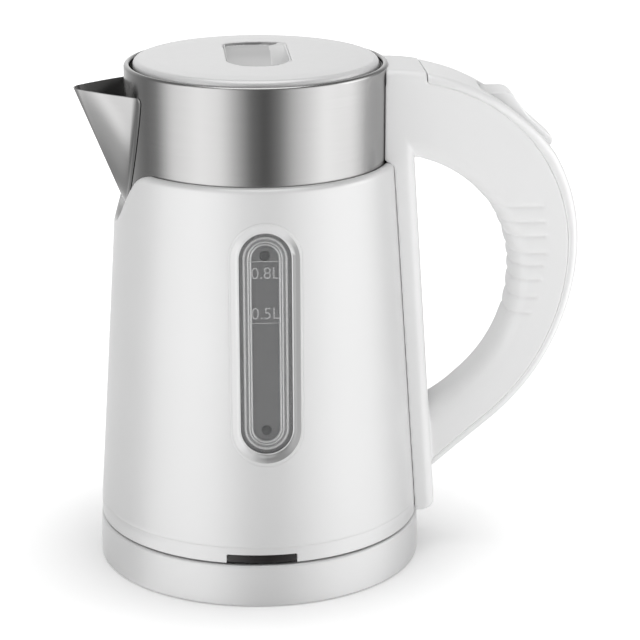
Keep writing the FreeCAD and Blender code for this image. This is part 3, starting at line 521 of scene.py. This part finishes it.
def moulded_from(name, parts, cuts, voxel, passes):
    """Joins parts, takes cuts away and rounds every edge softly, as a moulding has."""
    whole = parts[0]
    for part in parts[1:]:
        combine(whole, "UNION", part)
    for tool in cuts:
        combine(whole, "DIFFERENCE", tool)
    remesh = whole.modifiers.new("even", "REMESH")
    remesh.mode = "VOXEL"
    remesh.voxel_size = voxel * MM
    soften = whole.modifiers.new("soften", "SMOOTH")
    soften.factor = 0.5
    soften.iterations = passes
    settle(whole, sharp=180)
    for other in parts[1:] + cuts:
        bpy.data.objects.remove(other)
    whole.name = name
    return whole


def attach(piece, body, slot, *nodes):
    """Fixes a piece to its body and hides the CAD nodes it stands for; its slot is not used."""
    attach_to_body(piece, body)
    if nodes:
        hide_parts(*nodes)
    return piece


# ------------------------------------------------------------------ shared measures (mm)

FOOT_RADIUS = 65.3                       # of the jacket, at FOOT_LEVEL
FOOT_LEVEL = 24
SLOPE = (FOOT_RADIUS - 55.95) / (165 - FOOT_LEVEL)   # how the jacket narrows with height
EDGE = 52.45                             # radius of the jacket's opening round the pot
SHOULDER = 167.0                         # height of the jacket's edge away from the notch
POT = 52.3                               # radius of the steel collar
BORE = POT - 0.6                         # and of the pot's inside
RIM = 205.3                              # height of the collar's rim
LID_TOP = 207.25
HALF = 17.2                              # half the width of the spine and the crown


def cone(level):
    """Radius of the jacket at a height."""
    return FOOT_RADIUS + (FOOT_LEVEL - level) * SLOPE


def along(values, share):
    """Value at a share from 0 to 1 of an evenly spaced list, smoothly between its entries."""
    place = share * (len(values) - 1)
    i = min(int(place), len(values) - 2)
    t = place - i
    p0, p1, p2, p3 = (values[min(max(i + k, 0), len(values) - 1)] for k in (-1, 0, 1, 2))
    return 0.5 * (2 * p1 + (p2 - p0) * t + (2 * p0 - 5 * p1 + 4 * p2 - p3) * t * t
                  + (3 * p1 - p0 - 3 * p2 + p3) * t ** 3)


def straight(table, x):
    """Reads a table of (x, y) pairs with straight lines between them."""
    for (x0, y0), (x1, y1) in zip(table, table[1:]):
        if x <= x1:
            return y0 + (y1 - y0) * max(0.0, (x - x0) / (x1 - x0))
    return table[-1][1]


# --------------------------------------------------------------------------- the base

GLAND = 8.3                              # height of the middle of the lead's way in


def make_base(mat):
    """The base's ring and deck, the bushing of the lead and the contact post."""
    cover = lathe("base_shell", rounded([
        (64.0, 0.3), (66.0, 0.3, 0.6), (66.15, 4), (65.6, 17.3, 1.1), (63.2, 17.3, 0.5),
        (62.6, 15.2, 0.5), (16.4, 15.2), (16.4, 13.2), (64.0, 13.2)]), mat["white"])
    hole = prism("hole", ring_outline(3.9, 0, GLAND), 58, 70, upright, mat["white"])
    attach(cut(cover, hole), "power_base", "white_shell", "base_cover")
    section = rounded([(3.0, 0), (4.5, 0), (4.5, 2), (3.9, 2), (3.9, 6.4, 0.5), (3.0, 6.4, 0.4)])
    rows = []
    for radius, y in section:
        turns = [2 * math.pi * k / 48 for k in range(48)]
        rows.append([(radius * math.sin(a), 61.0 + y, GLAND + radius * math.cos(a))
                     for a in turns])
    gland = sheet("lead_bushing", rows, mat["grey"], wrap_rows=True, wrap_columns=True)
    attach(gland, "power_base", "inner_plastic", "cord_gland")
    post = lathe("contact_post", rounded([
        (0.01, 11.0), (21, 11.0), (21, 13.2), (15, 13.2, 0.6), (15, 27, 1.0), (10.2, 27, 0.4),
        (10.2, 17), (8.2, 17), (8.2, 27, 0.4), (2.4, 27, 0.4), (2.4, 15), (0.01, 15)]),
        mat["black"], 128)
    attach(post, "power_base", "dark_plastic", "base_connector")


# ------------------------------------------------------------------------- the jacket

def notch_edge():
    """Half of the notch's outline, as (distance from the middle, height)."""
    steep = math.radians(53.8)
    bowl = 21.6
    top = SHOULDER + 0.2
    apex = 164 - bowl / math.cos(steep)
    half = (top - apex) / math.tan(steep)
    loop = rounded([(0, apex, bowl), (half, top, 9), (60, top), (60, 190), (-60, 190),
                    (-60, top), (-half, top, 9)], 24)
    return sorted((a, b) for a, b in loop if a >= -0.001 and b < 180)


NOTCH = notch_edge()


def notch_level(x, y):
    """Height of the jacket's edge at a point: low in the notch, else the shoulder's."""
    return min(SHOULDER, straight(NOTCH, abs(y))) if x < 0 else SHOULDER


def jacket_column(angle):
    """The jacket's section at one angle from its foot over the edge to the inside."""
    cos, sin = math.cos(angle), math.sin(angle)

    def level(radius):
        return notch_level(radius * cos, radius * sin)

    top = level(56)
    for _ in range(4):
        top = level(cone(top))
    inset = cone(top) - EDGE
    soft = 1.6 + 0.8 * min(1.0, max(0.0, (top - 160) / 7))
    outline = [(63.1, 18.0), (64.9, 18.05), (65.15, 18.3), (65.2, 19.0), (65.27, 22.0)]
    outline += [(cone(24.55), 24.3), (cone(24.6) - 0.14, 24.6), (cone(24.9), 24.9)]
    foot = 26.0
    stop = top - soft
    for k in range(61):
        z = foot + (stop - foot) * (k / 60)
        outline.append((cone(z), z))
    for k in range(1, 9):
        a = math.pi / 2 * k / 8
        radius = cone(stop) - soft * (1 - math.cos(a))
        outline.append((radius, level(radius) - soft * (1 - math.sin(a))))
    for k in range(1, 6):
        radius = cone(stop) - soft - (inset - soft) * k / 5
        radius = max(radius, EDGE)
        outline.append((radius, level(radius) - (0.5 * (k / 5) ** 6)))
    wall = 2.2
    outline += [(EDGE, level(EDGE) - 3), (cone(top) - wall, min(level(EDGE), top) - 7),
                (cone(60) - wall, 60), (63.1, 24)]
    return [(r * cos, r * sin, z) for r, z in outline]


def make_jacket(mat):
    """The jacket, with the window's hole and the slot of the power light cut out of it."""
    count = 720
    rows = [jacket_column(2 * math.pi * k / count) for k in range(count)]
    jacket = sheet("outer_jacket", rows, mat["white"], wrap_rows=True, wrap_columns=True)
    window = prism("window_hole", stadium(28.56, 96.36, 24), -12, 8, lean, mat["white"])
    middle = 64.5 * math.sin(math.radians(-2.3))
    light = prism("light_slot", rounded([(middle - 13.9, 14), (middle + 13.9, 14),
                                         (middle + 13.9, 21.8, 0.6), (middle - 13.9, 21.8, 0.6)]),
                  -70, -50, upright, mat["white"])
    attach(cut(jacket, window, light), "kettle", "white_shell", "jacket")


# ------------------------------------------------------------------------- the window

LEAN = math.atan(SLOPE)                  # of the jacket's wall
WINDOW_LEVEL = 106                       # height of the window's middle
WINDOW_RADIUS = cone(WINDOW_LEVEL)
SLOT = (21.0, 88.2)                      # width and length of the window's opening
WALL = (10.63, 13.25)                    # where the sloping wall starts and ends, past SLOT's axis


def stadium(width, length, steps=24):
    """Outline of an upright slot with round ends about (0, 0)."""
    r = width / 2
    reach = length / 2 - r
    points = []
    for k in range(steps + 1):
        a = math.pi * k / steps
        points.append((r * math.cos(a), reach + r * math.sin(a)))
    for k in range(1, 12):
        points.append((-r, reach - 2 * reach * k / 12))
    for k in range(steps + 1):
        a = math.pi + math.pi * k / steps
        points.append((r * math.cos(a), -reach + r * math.sin(a)))
    for k in range(1, 12):
        points.append((r, -reach + 2 * reach * k / 12))
    return points


def lean(u, v, w):
    """A point u across, v up the leaning wall and w out of it, at the window."""
    y = -(WINDOW_RADIUS + w * math.cos(LEAN) - v * math.sin(LEAN))
    return (u, y, WINDOW_LEVEL + v * math.cos(LEAN) + w * math.sin(LEAN))


def droop(u, v):
    """How far the round jacket falls back from the plane that touches it at the middle."""
    radius = WINDOW_RADIUS - v * math.sin(LEAN)
    return radius - math.sqrt(radius ** 2 - u ** 2)


def rings(name, table, material, hug=(), closed=True, sharp=32):
    """Nested slot outlines (width, length, height); those listed in hug follow the jacket."""
    rows = []
    for index, (width, length, height) in enumerate(table):
        share = hug[index] if index < len(hug) else 0
        rows.append([lean(u, v, height - share * droop(u, v)) for u, v in stadium(width, length)])
    return sheet(name, rows, material, wrap_rows=closed, wrap_columns=True, caps=not closed,
                 sharp=sharp)


def at_window(vertex):
    """A vertex at the window: its way past the slot's middle line, and its depth."""
    x, y, z = vertex.co / MM
    v = (z - WINDOW_LEVEL) / math.cos(LEAN)
    reach = (SLOT[1] - SLOT[0]) / 2
    past = Vector((x, v - max(-reach, min(reach, v))))
    return past, (-y - WINDOW_RADIUS + v * math.sin(LEAN)) / math.cos(LEAN)


def shade(piece, tone):
    """Notes on the mesh how pale each vertex is, 0 to 1, as painted shade."""
    layer = piece.data.attributes.new("shade", "FLOAT", "POINT")
    for index, vertex in enumerate(piece.data.vertices):
        layer.data[index].value = min(1.0, max(0.0, tone(vertex)))


def wall_tone(vertex):
    """The sloping wall darkens towards the lower right, away from the light."""
    past = at_window(vertex)[0]
    facing = (past.x * 0.82 - past.y * 0.57) / past.length
    return 1 - min(0.92, (facing - 0.1) / 0.5) if WALL[0] < past.length < WALL[1] else 1.0


def make_window(mat):
    """The window: surround, clear pane, ridged channel, its floor and two ports."""
    frame = rings("window_surround", [
        (28.5, 96.3, -2.4), (28.5, 96.3, -0.12), (28.35, 96.15, 0.0), (27.9, 95.1, 0.03),
        (27.4, 94.6, 0.0), (27.0, 94.2, -0.05), (26.7, 93.9, -0.12), (26.4, 93.6, -0.3),
        (23.8, 91.0, -1.3), (21.3, 88.5, -2.25), (21.2, 88.4, -2.4), (20.6, 87.8, -2.45),
        (20.35, 87.5, -2.6), (20.3, 87.5, -3.2), (22.0, 89.2, -3.2)], mat["surround"],
        hug=(1, 1, 1, 1, 1, 0.98, 0.95, 0.9, 0.5, 0.1, 0.06, 0.03, 0, 0, 0), sharp=50)
    shade(frame, wall_tone)
    attach(frame, "kettle", "white_shell", "window_frame")
    pane = rings("gauge_glass", [
        (1.0, 68.2, -3.1), (19.4, 86.6, -3.1), (20.0, 87.2, -3.3), (20.0, 87.2, -3.4),
        (1.0, 68.2, -3.4)], mat["clear"], closed=False, sharp=25)
    attach(pane, "kettle", "clear_plastic", "window_pane")
    ridges = rings("gauge_ridges", [
        (17.5, 84.7, -4.9), (17.5, 84.7, -3.9), (17.2, 84.4, -3.65), (16.2, 83.4, -3.55),
        (15.7, 82.9, -3.7), (15.2, 82.4, -4.4), (14.2, 81.4, -4.4), (13.7, 80.9, -3.7),
        (13.0, 80.2, -3.55), (12.6, 79.8, -3.7), (12.4, 79.6, -4.2), (12.1, 79.3, -4.2),
        (11.9, 79.1, -3.7), (11.2, 78.4, -3.55), (10.7, 77.9, -3.7), (10.4, 77.6, -4.1),
        (10.4, 77.6, -4.9)], mat["ridge"], sharp=40)
    # painted shade: the ridges' grooves are darker the deeper they lie
    shade(ridges, lambda vertex: max(0.4, 1 + (at_window(vertex)[1] + 3.6) / 0.8))
    attach(ridges, "kettle", "clear_plastic")
    channel = rings("gauge_channel", [
        (1.0, 66.6, -4.85), (10.2, 75.8, -4.85), (10.6, 76.2, -4.8), (12.8, 79.8, -4.75),
        (12.8, 79.8, -5.4), (1.0, 66.6, -5.4)], mat["gauge"], closed=False)
    attach(channel, "kettle", "clear_plastic", "gauge_tube")
    # the bed's dark colour is painted shadow round the ridges
    backing = rings("gauge_bed", [
        (21.8, 89.0, -5.4), (21.8, 89.0, -4.7), (13.4, 80.4, -4.7), (13.4, 80.4, -5.4)],
        mat["bed"])
    attach(backing, "kettle", "inner_plastic")
    for sign in (-1, 1):
        port = rings("gauge_port_low" if sign < 0 else "gauge_port_high",
                     [(0.4, 0.41, -0.3), (0.4, 0.41, 0.3), (3.4, 3.41, 0.4), (4.0, 4.01, 0.2),
                      (4.0, 4.01, -0.3)], mat["hole"])
        port.location = Vector(lean(0, sign * 34.6, -4.8)) * MM - Vector(lean(0, 0, 0)) * MM
        attach(port, "kettle", "silicone", *(("gauge_seals",) if sign > 0 else ()))


def make_marks(mat):
    """Level marks on the gauge: two numbers with their lines."""
    for words, level in (("0.8L", 133.9), ("0.5L", 118.1)):
        text = bpy.data.curves.new("mark_" + words.replace(".", "_"), "FONT")
        text.body = words
        text.size = 6.6 * MM
        text.extrude = 0.04 * MM
        text.align_x = "CENTER"
        text.align_y = "CENTER"
        letters = bpy.data.objects.new(text.name, text)
        bpy.context.scene.collection.objects.link(letters)
        letters.location = Vector(lean(0, (level - WINDOW_LEVEL) / math.cos(LEAN), -3.0)) * MM
        letters.rotation_euler = (math.pi / 2 - LEAN, 0, 0)
        text.materials.append(mat["mark"])
        attach(letters, "kettle", "clear_plastic")
    for level in (138.7, 114.5):
        v = (level - WINDOW_LEVEL) / math.cos(LEAN)
        bar = [(-8.4, v - 0.15), (8.4, v - 0.15), (8.4, v + 0.15), (-8.4, v + 0.15)]
        line = prism(f"mark_line_{level:.0f}", bar, -3.04, -2.98, lean, mat["mark"])
        attach(line, "kettle", "clear_plastic")


# -------------------------------------------------------------------------- the collar

def make_vessel(mat):
    """The steel pot with its rolled rim and the opening behind the spout."""
    outline = rounded([(BORE, 42.8), (POT, 42.8), (POT, RIM, 1.3), (50.0, RIM, 0.9),
                       (50.0, RIM - 1.7, 0.4), (BORE, RIM - 2.3, 0.5)], 8)
    vessel = lathe("steel_vessel", outline, mat["steel"], 360)
    mouth = prism("mouth", rounded([(0, 153, 3), (15.5, 191, 3), (-15.5, 191, 3)]), -60, -40,
                  lambda a, b, c: (c, a, b), mat["steel"])
    attach(cut(vessel, mouth), "kettle", "steel", "vessel")


SPOUT_FOOT = 148.4                       # heights of the spout's lower tip and upper edge
SPOUT_TOP = 196
SPOUT_REACH = 72.2                       # from the axis to the tip
SEAT = POT + 0.62                        # radius of the flange's outside


def seam_half_width(level):
    """Half the width of the V where it meets its flange."""
    share = max(0.0, 1 - ((SPOUT_TOP - level) / (SPOUT_TOP - SPOUT_FOOT)) ** 1.25)
    return 22.9 * math.sqrt(share) + 0.4


def spout_row(level, inset):
    """One level of the spout from flange edge to flange edge, round its nose."""
    rise = max(0.0, (level - SPOUT_FOOT) / (SPOUT_TOP - SPOUT_FOOT))
    width = seam_half_width(max(level, SPOUT_FOOT))
    wall = SEAT - inset
    root = -math.sqrt(wall ** 2 - width ** 2)
    line = -(POT + 0.6) - rise * (SPOUT_REACH - POT - 0.6)
    nose = 0.7 + 5.6 * rise
    front = line
    for _ in range(8):
        half = math.atan2(width, root - front)
        front = line - nose / math.sin(half) + nose
    front += inset / math.sin(half)
    nose = max(0.2, nose - inset)
    reach = nose / math.tan(half)
    centre = front + nose / math.sin(half)
    side = []
    near = (front + reach * math.cos(half), reach * math.sin(half))
    root = front + (width - inset) / math.tan(half)
    for k in range(13):
        t = k / 12
        bulge = 0.8 * math.sin(math.pi * t) * rise
        x = near[0] + (root - near[0]) * t - bulge * math.sin(half)
        y = near[1] + (width - inset - near[1]) * t + bulge * math.cos(half)
        side.append((x, y))
    arc = []
    for k in range(1, 12):
        a = (math.pi / 2 - half) * (1 - k / 12)
        arc.append((centre - nose * math.cos(a), nose * math.sin(a)))
    lap = 2.3 if level < 193.6 else 2.3 * math.sqrt(max(0.02, 1 - ((level - 193.6) / 2.5) ** 2))
    flange = []
    for k in range(1, 6):
        y = width + lap * k / 5
        low = wall - 0.4 * (k / 5) ** 2 * (1 - inset)
        flange.append((-math.sqrt(low ** 2 - y ** 2), y))
    upper = flange[::-1] + side[::-1] + arc
    lower = [(x, -y) for x, y in reversed(upper)]
    return [(x, y, level) for x, y in upper + [(centre - nose, 0.0)] + lower]


def make_spout(mat):
    """The V of sheet steel with its flange, and the pressed heel below it."""
    wall = 0.55
    low, high = SPOUT_FOOT + 0.05, SPOUT_TOP - 0.1
    levels = [low + (high - low) * (k / 60) ** 1.15 for k in range(61)]
    outer = [spout_row(z, 0.0) for z in levels]
    inner = [spout_row(z, wall) for z in levels]
    lip = [(x, y, z + 0.12) for x, y, z in spout_row(high, wall * 0.5)]
    spout = sheet("pouring_spout", outer + [lip] + inner[::-1], mat["steel"],
                  wrap_rows=True, sharp=40)
    attach(spout, "kettle", "steel", "spout")
    rows = []
    for k in range(13):
        z = SPOUT_FOOT + 0.2 - 3.4 * k / 12
        y = 2.6 * math.sqrt(max(0.003, 1 - (k / 12) ** 2))
        row = []
        for j in range(9):
            across = y * (1 - j / 4)
            row.append((-math.sqrt(SEAT ** 2 - across ** 2), across, z))
        rows.append(row)
    back = [[(x + wall, y, z) for x, y, z in row] for row in rows]
    loops = [a + b[::-1] for a, b in zip(rows, back)]
    heel = sheet("spout_heel", loops, mat["steel"], wrap_columns=True, caps=True)
    attach(heel, "kettle", "steel")


# -------------------------------------------------------------------------- the handle

# along the grip: angle of its outer edge, angle of its inner edge, half its width
STATIONS = ((88, 84, 17.2), (74, 70, 17.2), (58, 55, 16.4), (36, 34, 14.9), (15, 15, 13.8),
            (-6, -8, 13.2), (-20, -26, 13.0), (-34, -42, 13.0), (-50, -57, 13.0),
            (-70, -72, 13.0))
# circles (centre, radius) of the two edges, above and below the middle of the grip
OUTER_UPPER = (Vector((54, 128.6)), 77)
OUTER_LOWER = (Vector((32, 128.6)), 99)
INNER_UPPER = (Vector((51.5, 117.7)), 51.0)
INNER_LOWER = (Vector((44.7, 116.8)), 57.7)
STRAIGHT_FROM = -50                      # the outer edge runs straight below this angle
# how far the outer edge lies inside its circle and the inner edge outside its own, by angle
SLIMMER = ((-72, 3.0), (-50, 3.0), (-35, 2.6), (-20, 2.2), (0, 1.5), (20, 0.8), (32, 0.5),
           (40, 1.2), (50, 2.1), (62, 2.15), (77, 2.0), (84, 1.6))
HEEL = ((-74, 2.4), (-62, 0.8), (-50, 0))
SEAM = 5.65                              # thickest place of the strip along the grip's back
SEAM_SHARE = ((-72, 0.56), (-50, 0.68), (-35, 0.77), (-20, 0.81), (0, 0.89), (32, 0.97),
              (40, 0.805), (50, 0.628), (62, 0.62), (77, 0.646), (84, 0.717))
GAP = 0.12                               # between the spine and the jacket or the pot
# finger grooves: height, and how far out each one reaches
GROOVES = ((147.1, 115.3), (140.6, 116.3), (134.6, 116.9), (127.5, 117.1), (122.2, 116.4),
           (116.4, 115.0), (109.0, 113.5), (102.3, 110.9))


def polar(centre, radius, turn):
    return centre + Vector((math.cos(turn), math.sin(turn))) * radius


def grip_edges(outer_angle, inner_angle):
    """Outer and inner edge of the grip seen from the side, as (x, z) vectors."""
    turn = math.radians(outer_angle)
    slim = straight(SLIMMER, outer_angle)
    if outer_angle >= 0:
        centre, radius = OUTER_UPPER
        outer = polar(centre, radius - slim, turn)
    else:
        centre, radius = OUTER_LOWER
        held = max(turn, math.radians(STRAIGHT_FROM))
        outer = polar(centre, radius - slim, held)
        outer += Vector((math.sin(held), -math.cos(held))) * ((held - turn) * radius)
    centre, radius = INNER_UPPER if inner_angle >= 0 else INNER_LOWER
    radius += straight(HEEL, inner_angle)
    return outer, polar(centre, radius, math.radians(inner_angle))


def grip(name, start, stop, narrower, outer_round, inner_round, crown, material, steps=110):
    """The grip swept from crown to heel, from depth start to stop below its outer edge.

    A stop of 0 or less is measured from the inner edge instead.
    """
    rows = []
    for k in range(steps + 1):
        share = k / steps
        outer_angle, inner_angle, half = (along([s[i] for s in STATIONS], share)
                                          for i in range(3))
        outer, inner = grip_edges(outer_angle, inner_angle)
        across = (inner - outer).normalized()
        seam = straight(SEAM_SHARE, outer_angle)
        near = start * seam if start > 0 else start
        far = (inner - outer).length + stop if stop <= 0 else stop * seam
        half -= narrower
        row = []
        for depth, y in rounded([(near, -half, outer_round), (near, half, outer_round),
                                 (far, half, inner_round), (far, -half, inner_round)], 8):
            sink = crown * (y / half) ** 2 * max(0.0, 1 - (depth - near) / SEAM)
            spot = outer + across * (depth + sink)
            row.append((spot.x, y, spot.y))
        rows.append(row)
    return sheet(name, rows, material, wrap_columns=True, caps=True)


def soft_slab(name, outline, half, soft, material):
    """A side slab whose two long rims are rounded with radius soft."""
    count = len(outline)
    inward = []
    for k in range(count):
        along_rim = Vector(outline[(k + 1) % count]) - Vector(outline[k - 1])
        inward.append(Vector((along_rim.y, -along_rim.x)).normalized())
    rows = []
    for side in (-1, 1):
        for k in range(7):
            turn = math.radians(90 * (k if side < 0 else 6 - k) / 6)
            sink = soft * (1 - math.sin(turn))
            y = side * (half - soft * (1 - math.cos(turn)))
            rows.append([(x + n.x * sink, y, z + n.y * sink)
                         for (x, z), n in zip(outline, inward)])
    return sheet(name, rows, material, wrap_columns=True, caps=True)


def make_spine(mat):
    """Upright strip along the jacket and the collar, hugging both."""
    rows = []
    levels = [18.8 + 4 * (k / 6) ** 2 for k in range(6)]
    levels += [23 + (198 - 23) * k / 70 for k in range(71)]
    for z in levels:
        inner = (cone(z) if z < 166.9 else POT) + GAP
        back = cone(min(z, 168)) + 6.3
        lift = 3.6 * (1 - math.sqrt(max(0.0, 1 - ((22.8 - z) / 4) ** 2))) if z < 22.8 else 0.0
        half = HALF - lift * 0.5
        row = rounded([(inner - 4, -half), (back - lift, -half, 4.5), (back - lift, half, 4.5),
                       (inner - 4, half)], 8)
        points = [(max(x, math.sqrt(inner ** 2 - y ** 2)), y) for x, y in row]
        for k in range(1, 24):
            y = half * (1 - k / 12)
            points.append((math.sqrt(inner ** 2 - y ** 2), y))
        rows.append([(x, y, z) for x, y in points])
    return sheet("spine", rows, mat["handle"], wrap_columns=True, caps=True)


def make_crown(mat):
    """Block that carries the top of the grip to the collar."""
    rows = []
    for k in range(25):
        x = 50 + (66 - 50) * k / 24
        top = 128.6 + math.sqrt(75.4 ** 2 - max(0.0, x - 52) ** 2)
        outline = rounded([(-HALF, 188), (HALF, 188), (HALF, top, 3.2), (-HALF, top, 3.2)], 8)
        rows.append([(max(x, math.sqrt((POT + GAP) ** 2 - y ** 2)), y, z) for y, z in outline])
    return sheet("crown", rows, mat["handle"], wrap_columns=True, caps=True)


# the rocker seen from the side: (x, z, rounding)
LEVER = ((89.2, 191.7, 1.0), (91.2, 192.85, 1.2), (101.0, 192.85, 5.5), (108.3, 182.7, 12),
         (118.3, 173.7, 1.0), (117.8, 171.3, 1.0), (112.4, 169.4, 1.0), (87.9, 188.4, 1.0))


def lever_room(grow, down):
    """Outline of the space for the rocker: grown all round, and deeper by down."""
    upper = [(90.4 - grow, 194.2 + grow), (96.5, 194.8 + grow), (100.4 + grow * 0.4, 193.6 + grow),
             (116.9 + grow, 176.8 + grow), (118.1 + grow, 171.4)]
    lower = [(112.4 + grow * 0.8 - down * 0.4, 169.4 - down),
             (87.6 - grow - down, 188.2 - down * 0.4)]
    return upper + lower


def press_grooves(piece):
    """Presses the eight shallow finger grooves into the inner half of the grip."""
    shape = bmesh.new()
    shape.from_mesh(piece.data)
    for vertex in shape.verts:
        x, _, z = vertex.co / MM
        if not (99 < z < 150 and x > 84):
            continue
        depth = 0.0
        for level, end in GROOVES:
            fade = min(1.0, max(0.0, (end - x) / 1.6))
            depth = max(depth, 0.8 * math.exp(-abs(z - level) / 0.9) * fade)
        vertex.co -= vertex.normal * depth * MM
    shape.to_mesh(piece.data)
    shape.free()


def lever_tone(vertex):
    """Painted shade: the rocker's flat top is greyer than its slope."""
    return min(1.0, max(0.66, 0.66 + (vertex.co.x / MM - 93) * 0.045))


def make_handle(mat):
    """The grip with its spine, the strip along its back and the rocker in its slot."""
    plastic = mat["handle"]
    start = 66.3                         # the strip starts here, a little way along the crown
    strip_space = grip("strip_space", -4, SEAM, -3, 3, 0.4, 0, plastic)
    beyond = side_slab("beyond", [(start, 150), (start, 230), (160, 230), (160, 150)], 40, plastic)
    cut(strip_space, beyond, operation="INTERSECT")
    pocket = side_slab("pocket", lever_room(1.0, 7), 9.2, plastic)
    body = moulded_from("handle_shell",
                        [grip("grip", SEAM, 0, 0, 0.6, 9, 0, plastic), make_spine(mat),
                         make_crown(mat)],
                        [strip_space, pocket], 0.5, 3)
    press_grooves(body)
    attach(body, "kettle", "white_shell", "handle_body")
    start += 0.2
    before = side_slab("before", [(30, 150), (start, 150), (start, 230), (30, 230)], 40, plastic)
    slot = side_slab("slot", lever_room(0.75, 12), 9.1, plastic)
    cover = grip("cover", 0, SEAM + 0.05, 0, 3, 0.3, 0.7, mat["strip"])
    cover = moulded_from("handle_strip", [cover], [before, slot, make_spine(mat)], 0.45, 2)
    attach(cover, "kettle", "white_shell", "handle_cover")
    lever = soft_slab("rocker", rounded(LEVER, 6), 8.6, 0.9, mat["lever"])
    cut(lever, side_slab("bore", ring_outline(1.6, 101, 181.4), 20, mat["lever"]), sharp=40)
    shade(lever, lever_tone)
    attach(lever, "switch", "switch_plastic", "switch_lever")


# ----------------------------------------------------------------------------- the lid

def recess_block(mat, grow=0.0, top=212):
    """The finger recess as a solid: an upright left wall, a sloping right one, a ramp behind."""
    rows = []
    for k in range(41):
        y = -20.4 - grow + (28.4 + 20.4 + 2 * grow) * k / 40
        squeeze = 1.0
        if y < -8.2:
            squeeze = math.sqrt(max(0.0025, 1 - ((-8.2 - y) / (12.3 + grow)) ** 2))
        elif y > 23.5:
            squeeze = math.sqrt(max(0.0025, 1 - ((y - 23.5) / (5.1 + grow)) ** 2))
        left = 0.6 - (11.8 + grow) * squeeze
        right = 0.6 + (12.0 + grow) * squeeze
        floor = 196.2 - grow + 10.3 / (1 + math.exp(-(y - 12.5) / 4.6))
        crease = left + (right - left) * (0.785 - 0.0012 * y)
        rows.append([(left, y, top), (left, y, floor), (crease, y, floor),
                     (right, y, LID_TOP - 0.3 - grow), (right, y, top)])
    return sheet("recess", rows, mat["tub"], wrap_columns=True, caps=True)


def recess_tone(vertex):
    """Painted shade: the right wall is pale, the ramp greyer as shade deep in the recess, and the
    edge behind it a dark line of painted shadow in the seam under the rim.
    """
    x, y, z = vertex.co / MM
    if z > 206.35 and (y > 24 and x < 7 or y > 26.5):
        return 0.0
    return 1.0 if x > 7.4 - 0.03 * y else 0.5 + 0.006 * y


def raise_brow(cap):
    """Lifts the cap a little behind the recess, which gives its back edge a rim."""
    shape = bmesh.new()
    shape.from_mesh(cap.data)
    for vertex in shape.verts:
        x, y, z = vertex.co / MM
        brow = 24.5 + 4.6 * (1 - (x / 12) ** 2)
        far = brow + 5.0
        if z > 205 and abs(x) < 13 and brow - 0.8 < y < far:
            swell = math.sin(math.pi / 2 * (far - y) / (far - brow))
            vertex.co.z += 0.14 * MM * swell * max(0.0, 1 - (x / 13) ** 4)
    shape.to_mesh(cap.data)
    shape.free()


def make_lid(mat):
    """The cap with the hole for the recess, and the recess as a tub in it."""
    cap = lathe("cap", rounded([
        (0.02, 194), (25, 194), (29, 204.6), (46.5, 204.6), (46.5, 203.2), (48.7, 203.2, 0.6),
        (48.7, LID_TOP - 0.25, 2.4), (40, LID_TOP + 0.1), (0.02, LID_TOP + 0.3)], 8), mat["white"])
    cap = moulded_from("lid_top", [cap], [recess_block(mat, 0.85)], 0.45, 2)
    raise_brow(cap)
    attach(cap, "lid", "white_shell", "lid_cap")
    tub = moulded_from("finger_recess", [recess_block(mat, 0.8, LID_TOP + 0.12)],
                       [recess_block(mat)], 0.3, 2)
    shade(tub, recess_tone)
    attach(tub, "lid", "white_shell", "lid_recess")


make_camera()
make_world()
make_stage()
mat = make_materials()
make_base(mat)
make_jacket(mat)
make_window(mat)
make_marks(mat)
make_vessel(mat)
make_spout(mat)
make_handle(mat)
make_lid(mat)
bpy.context.scene.view_settings.view_transform = "Standard"
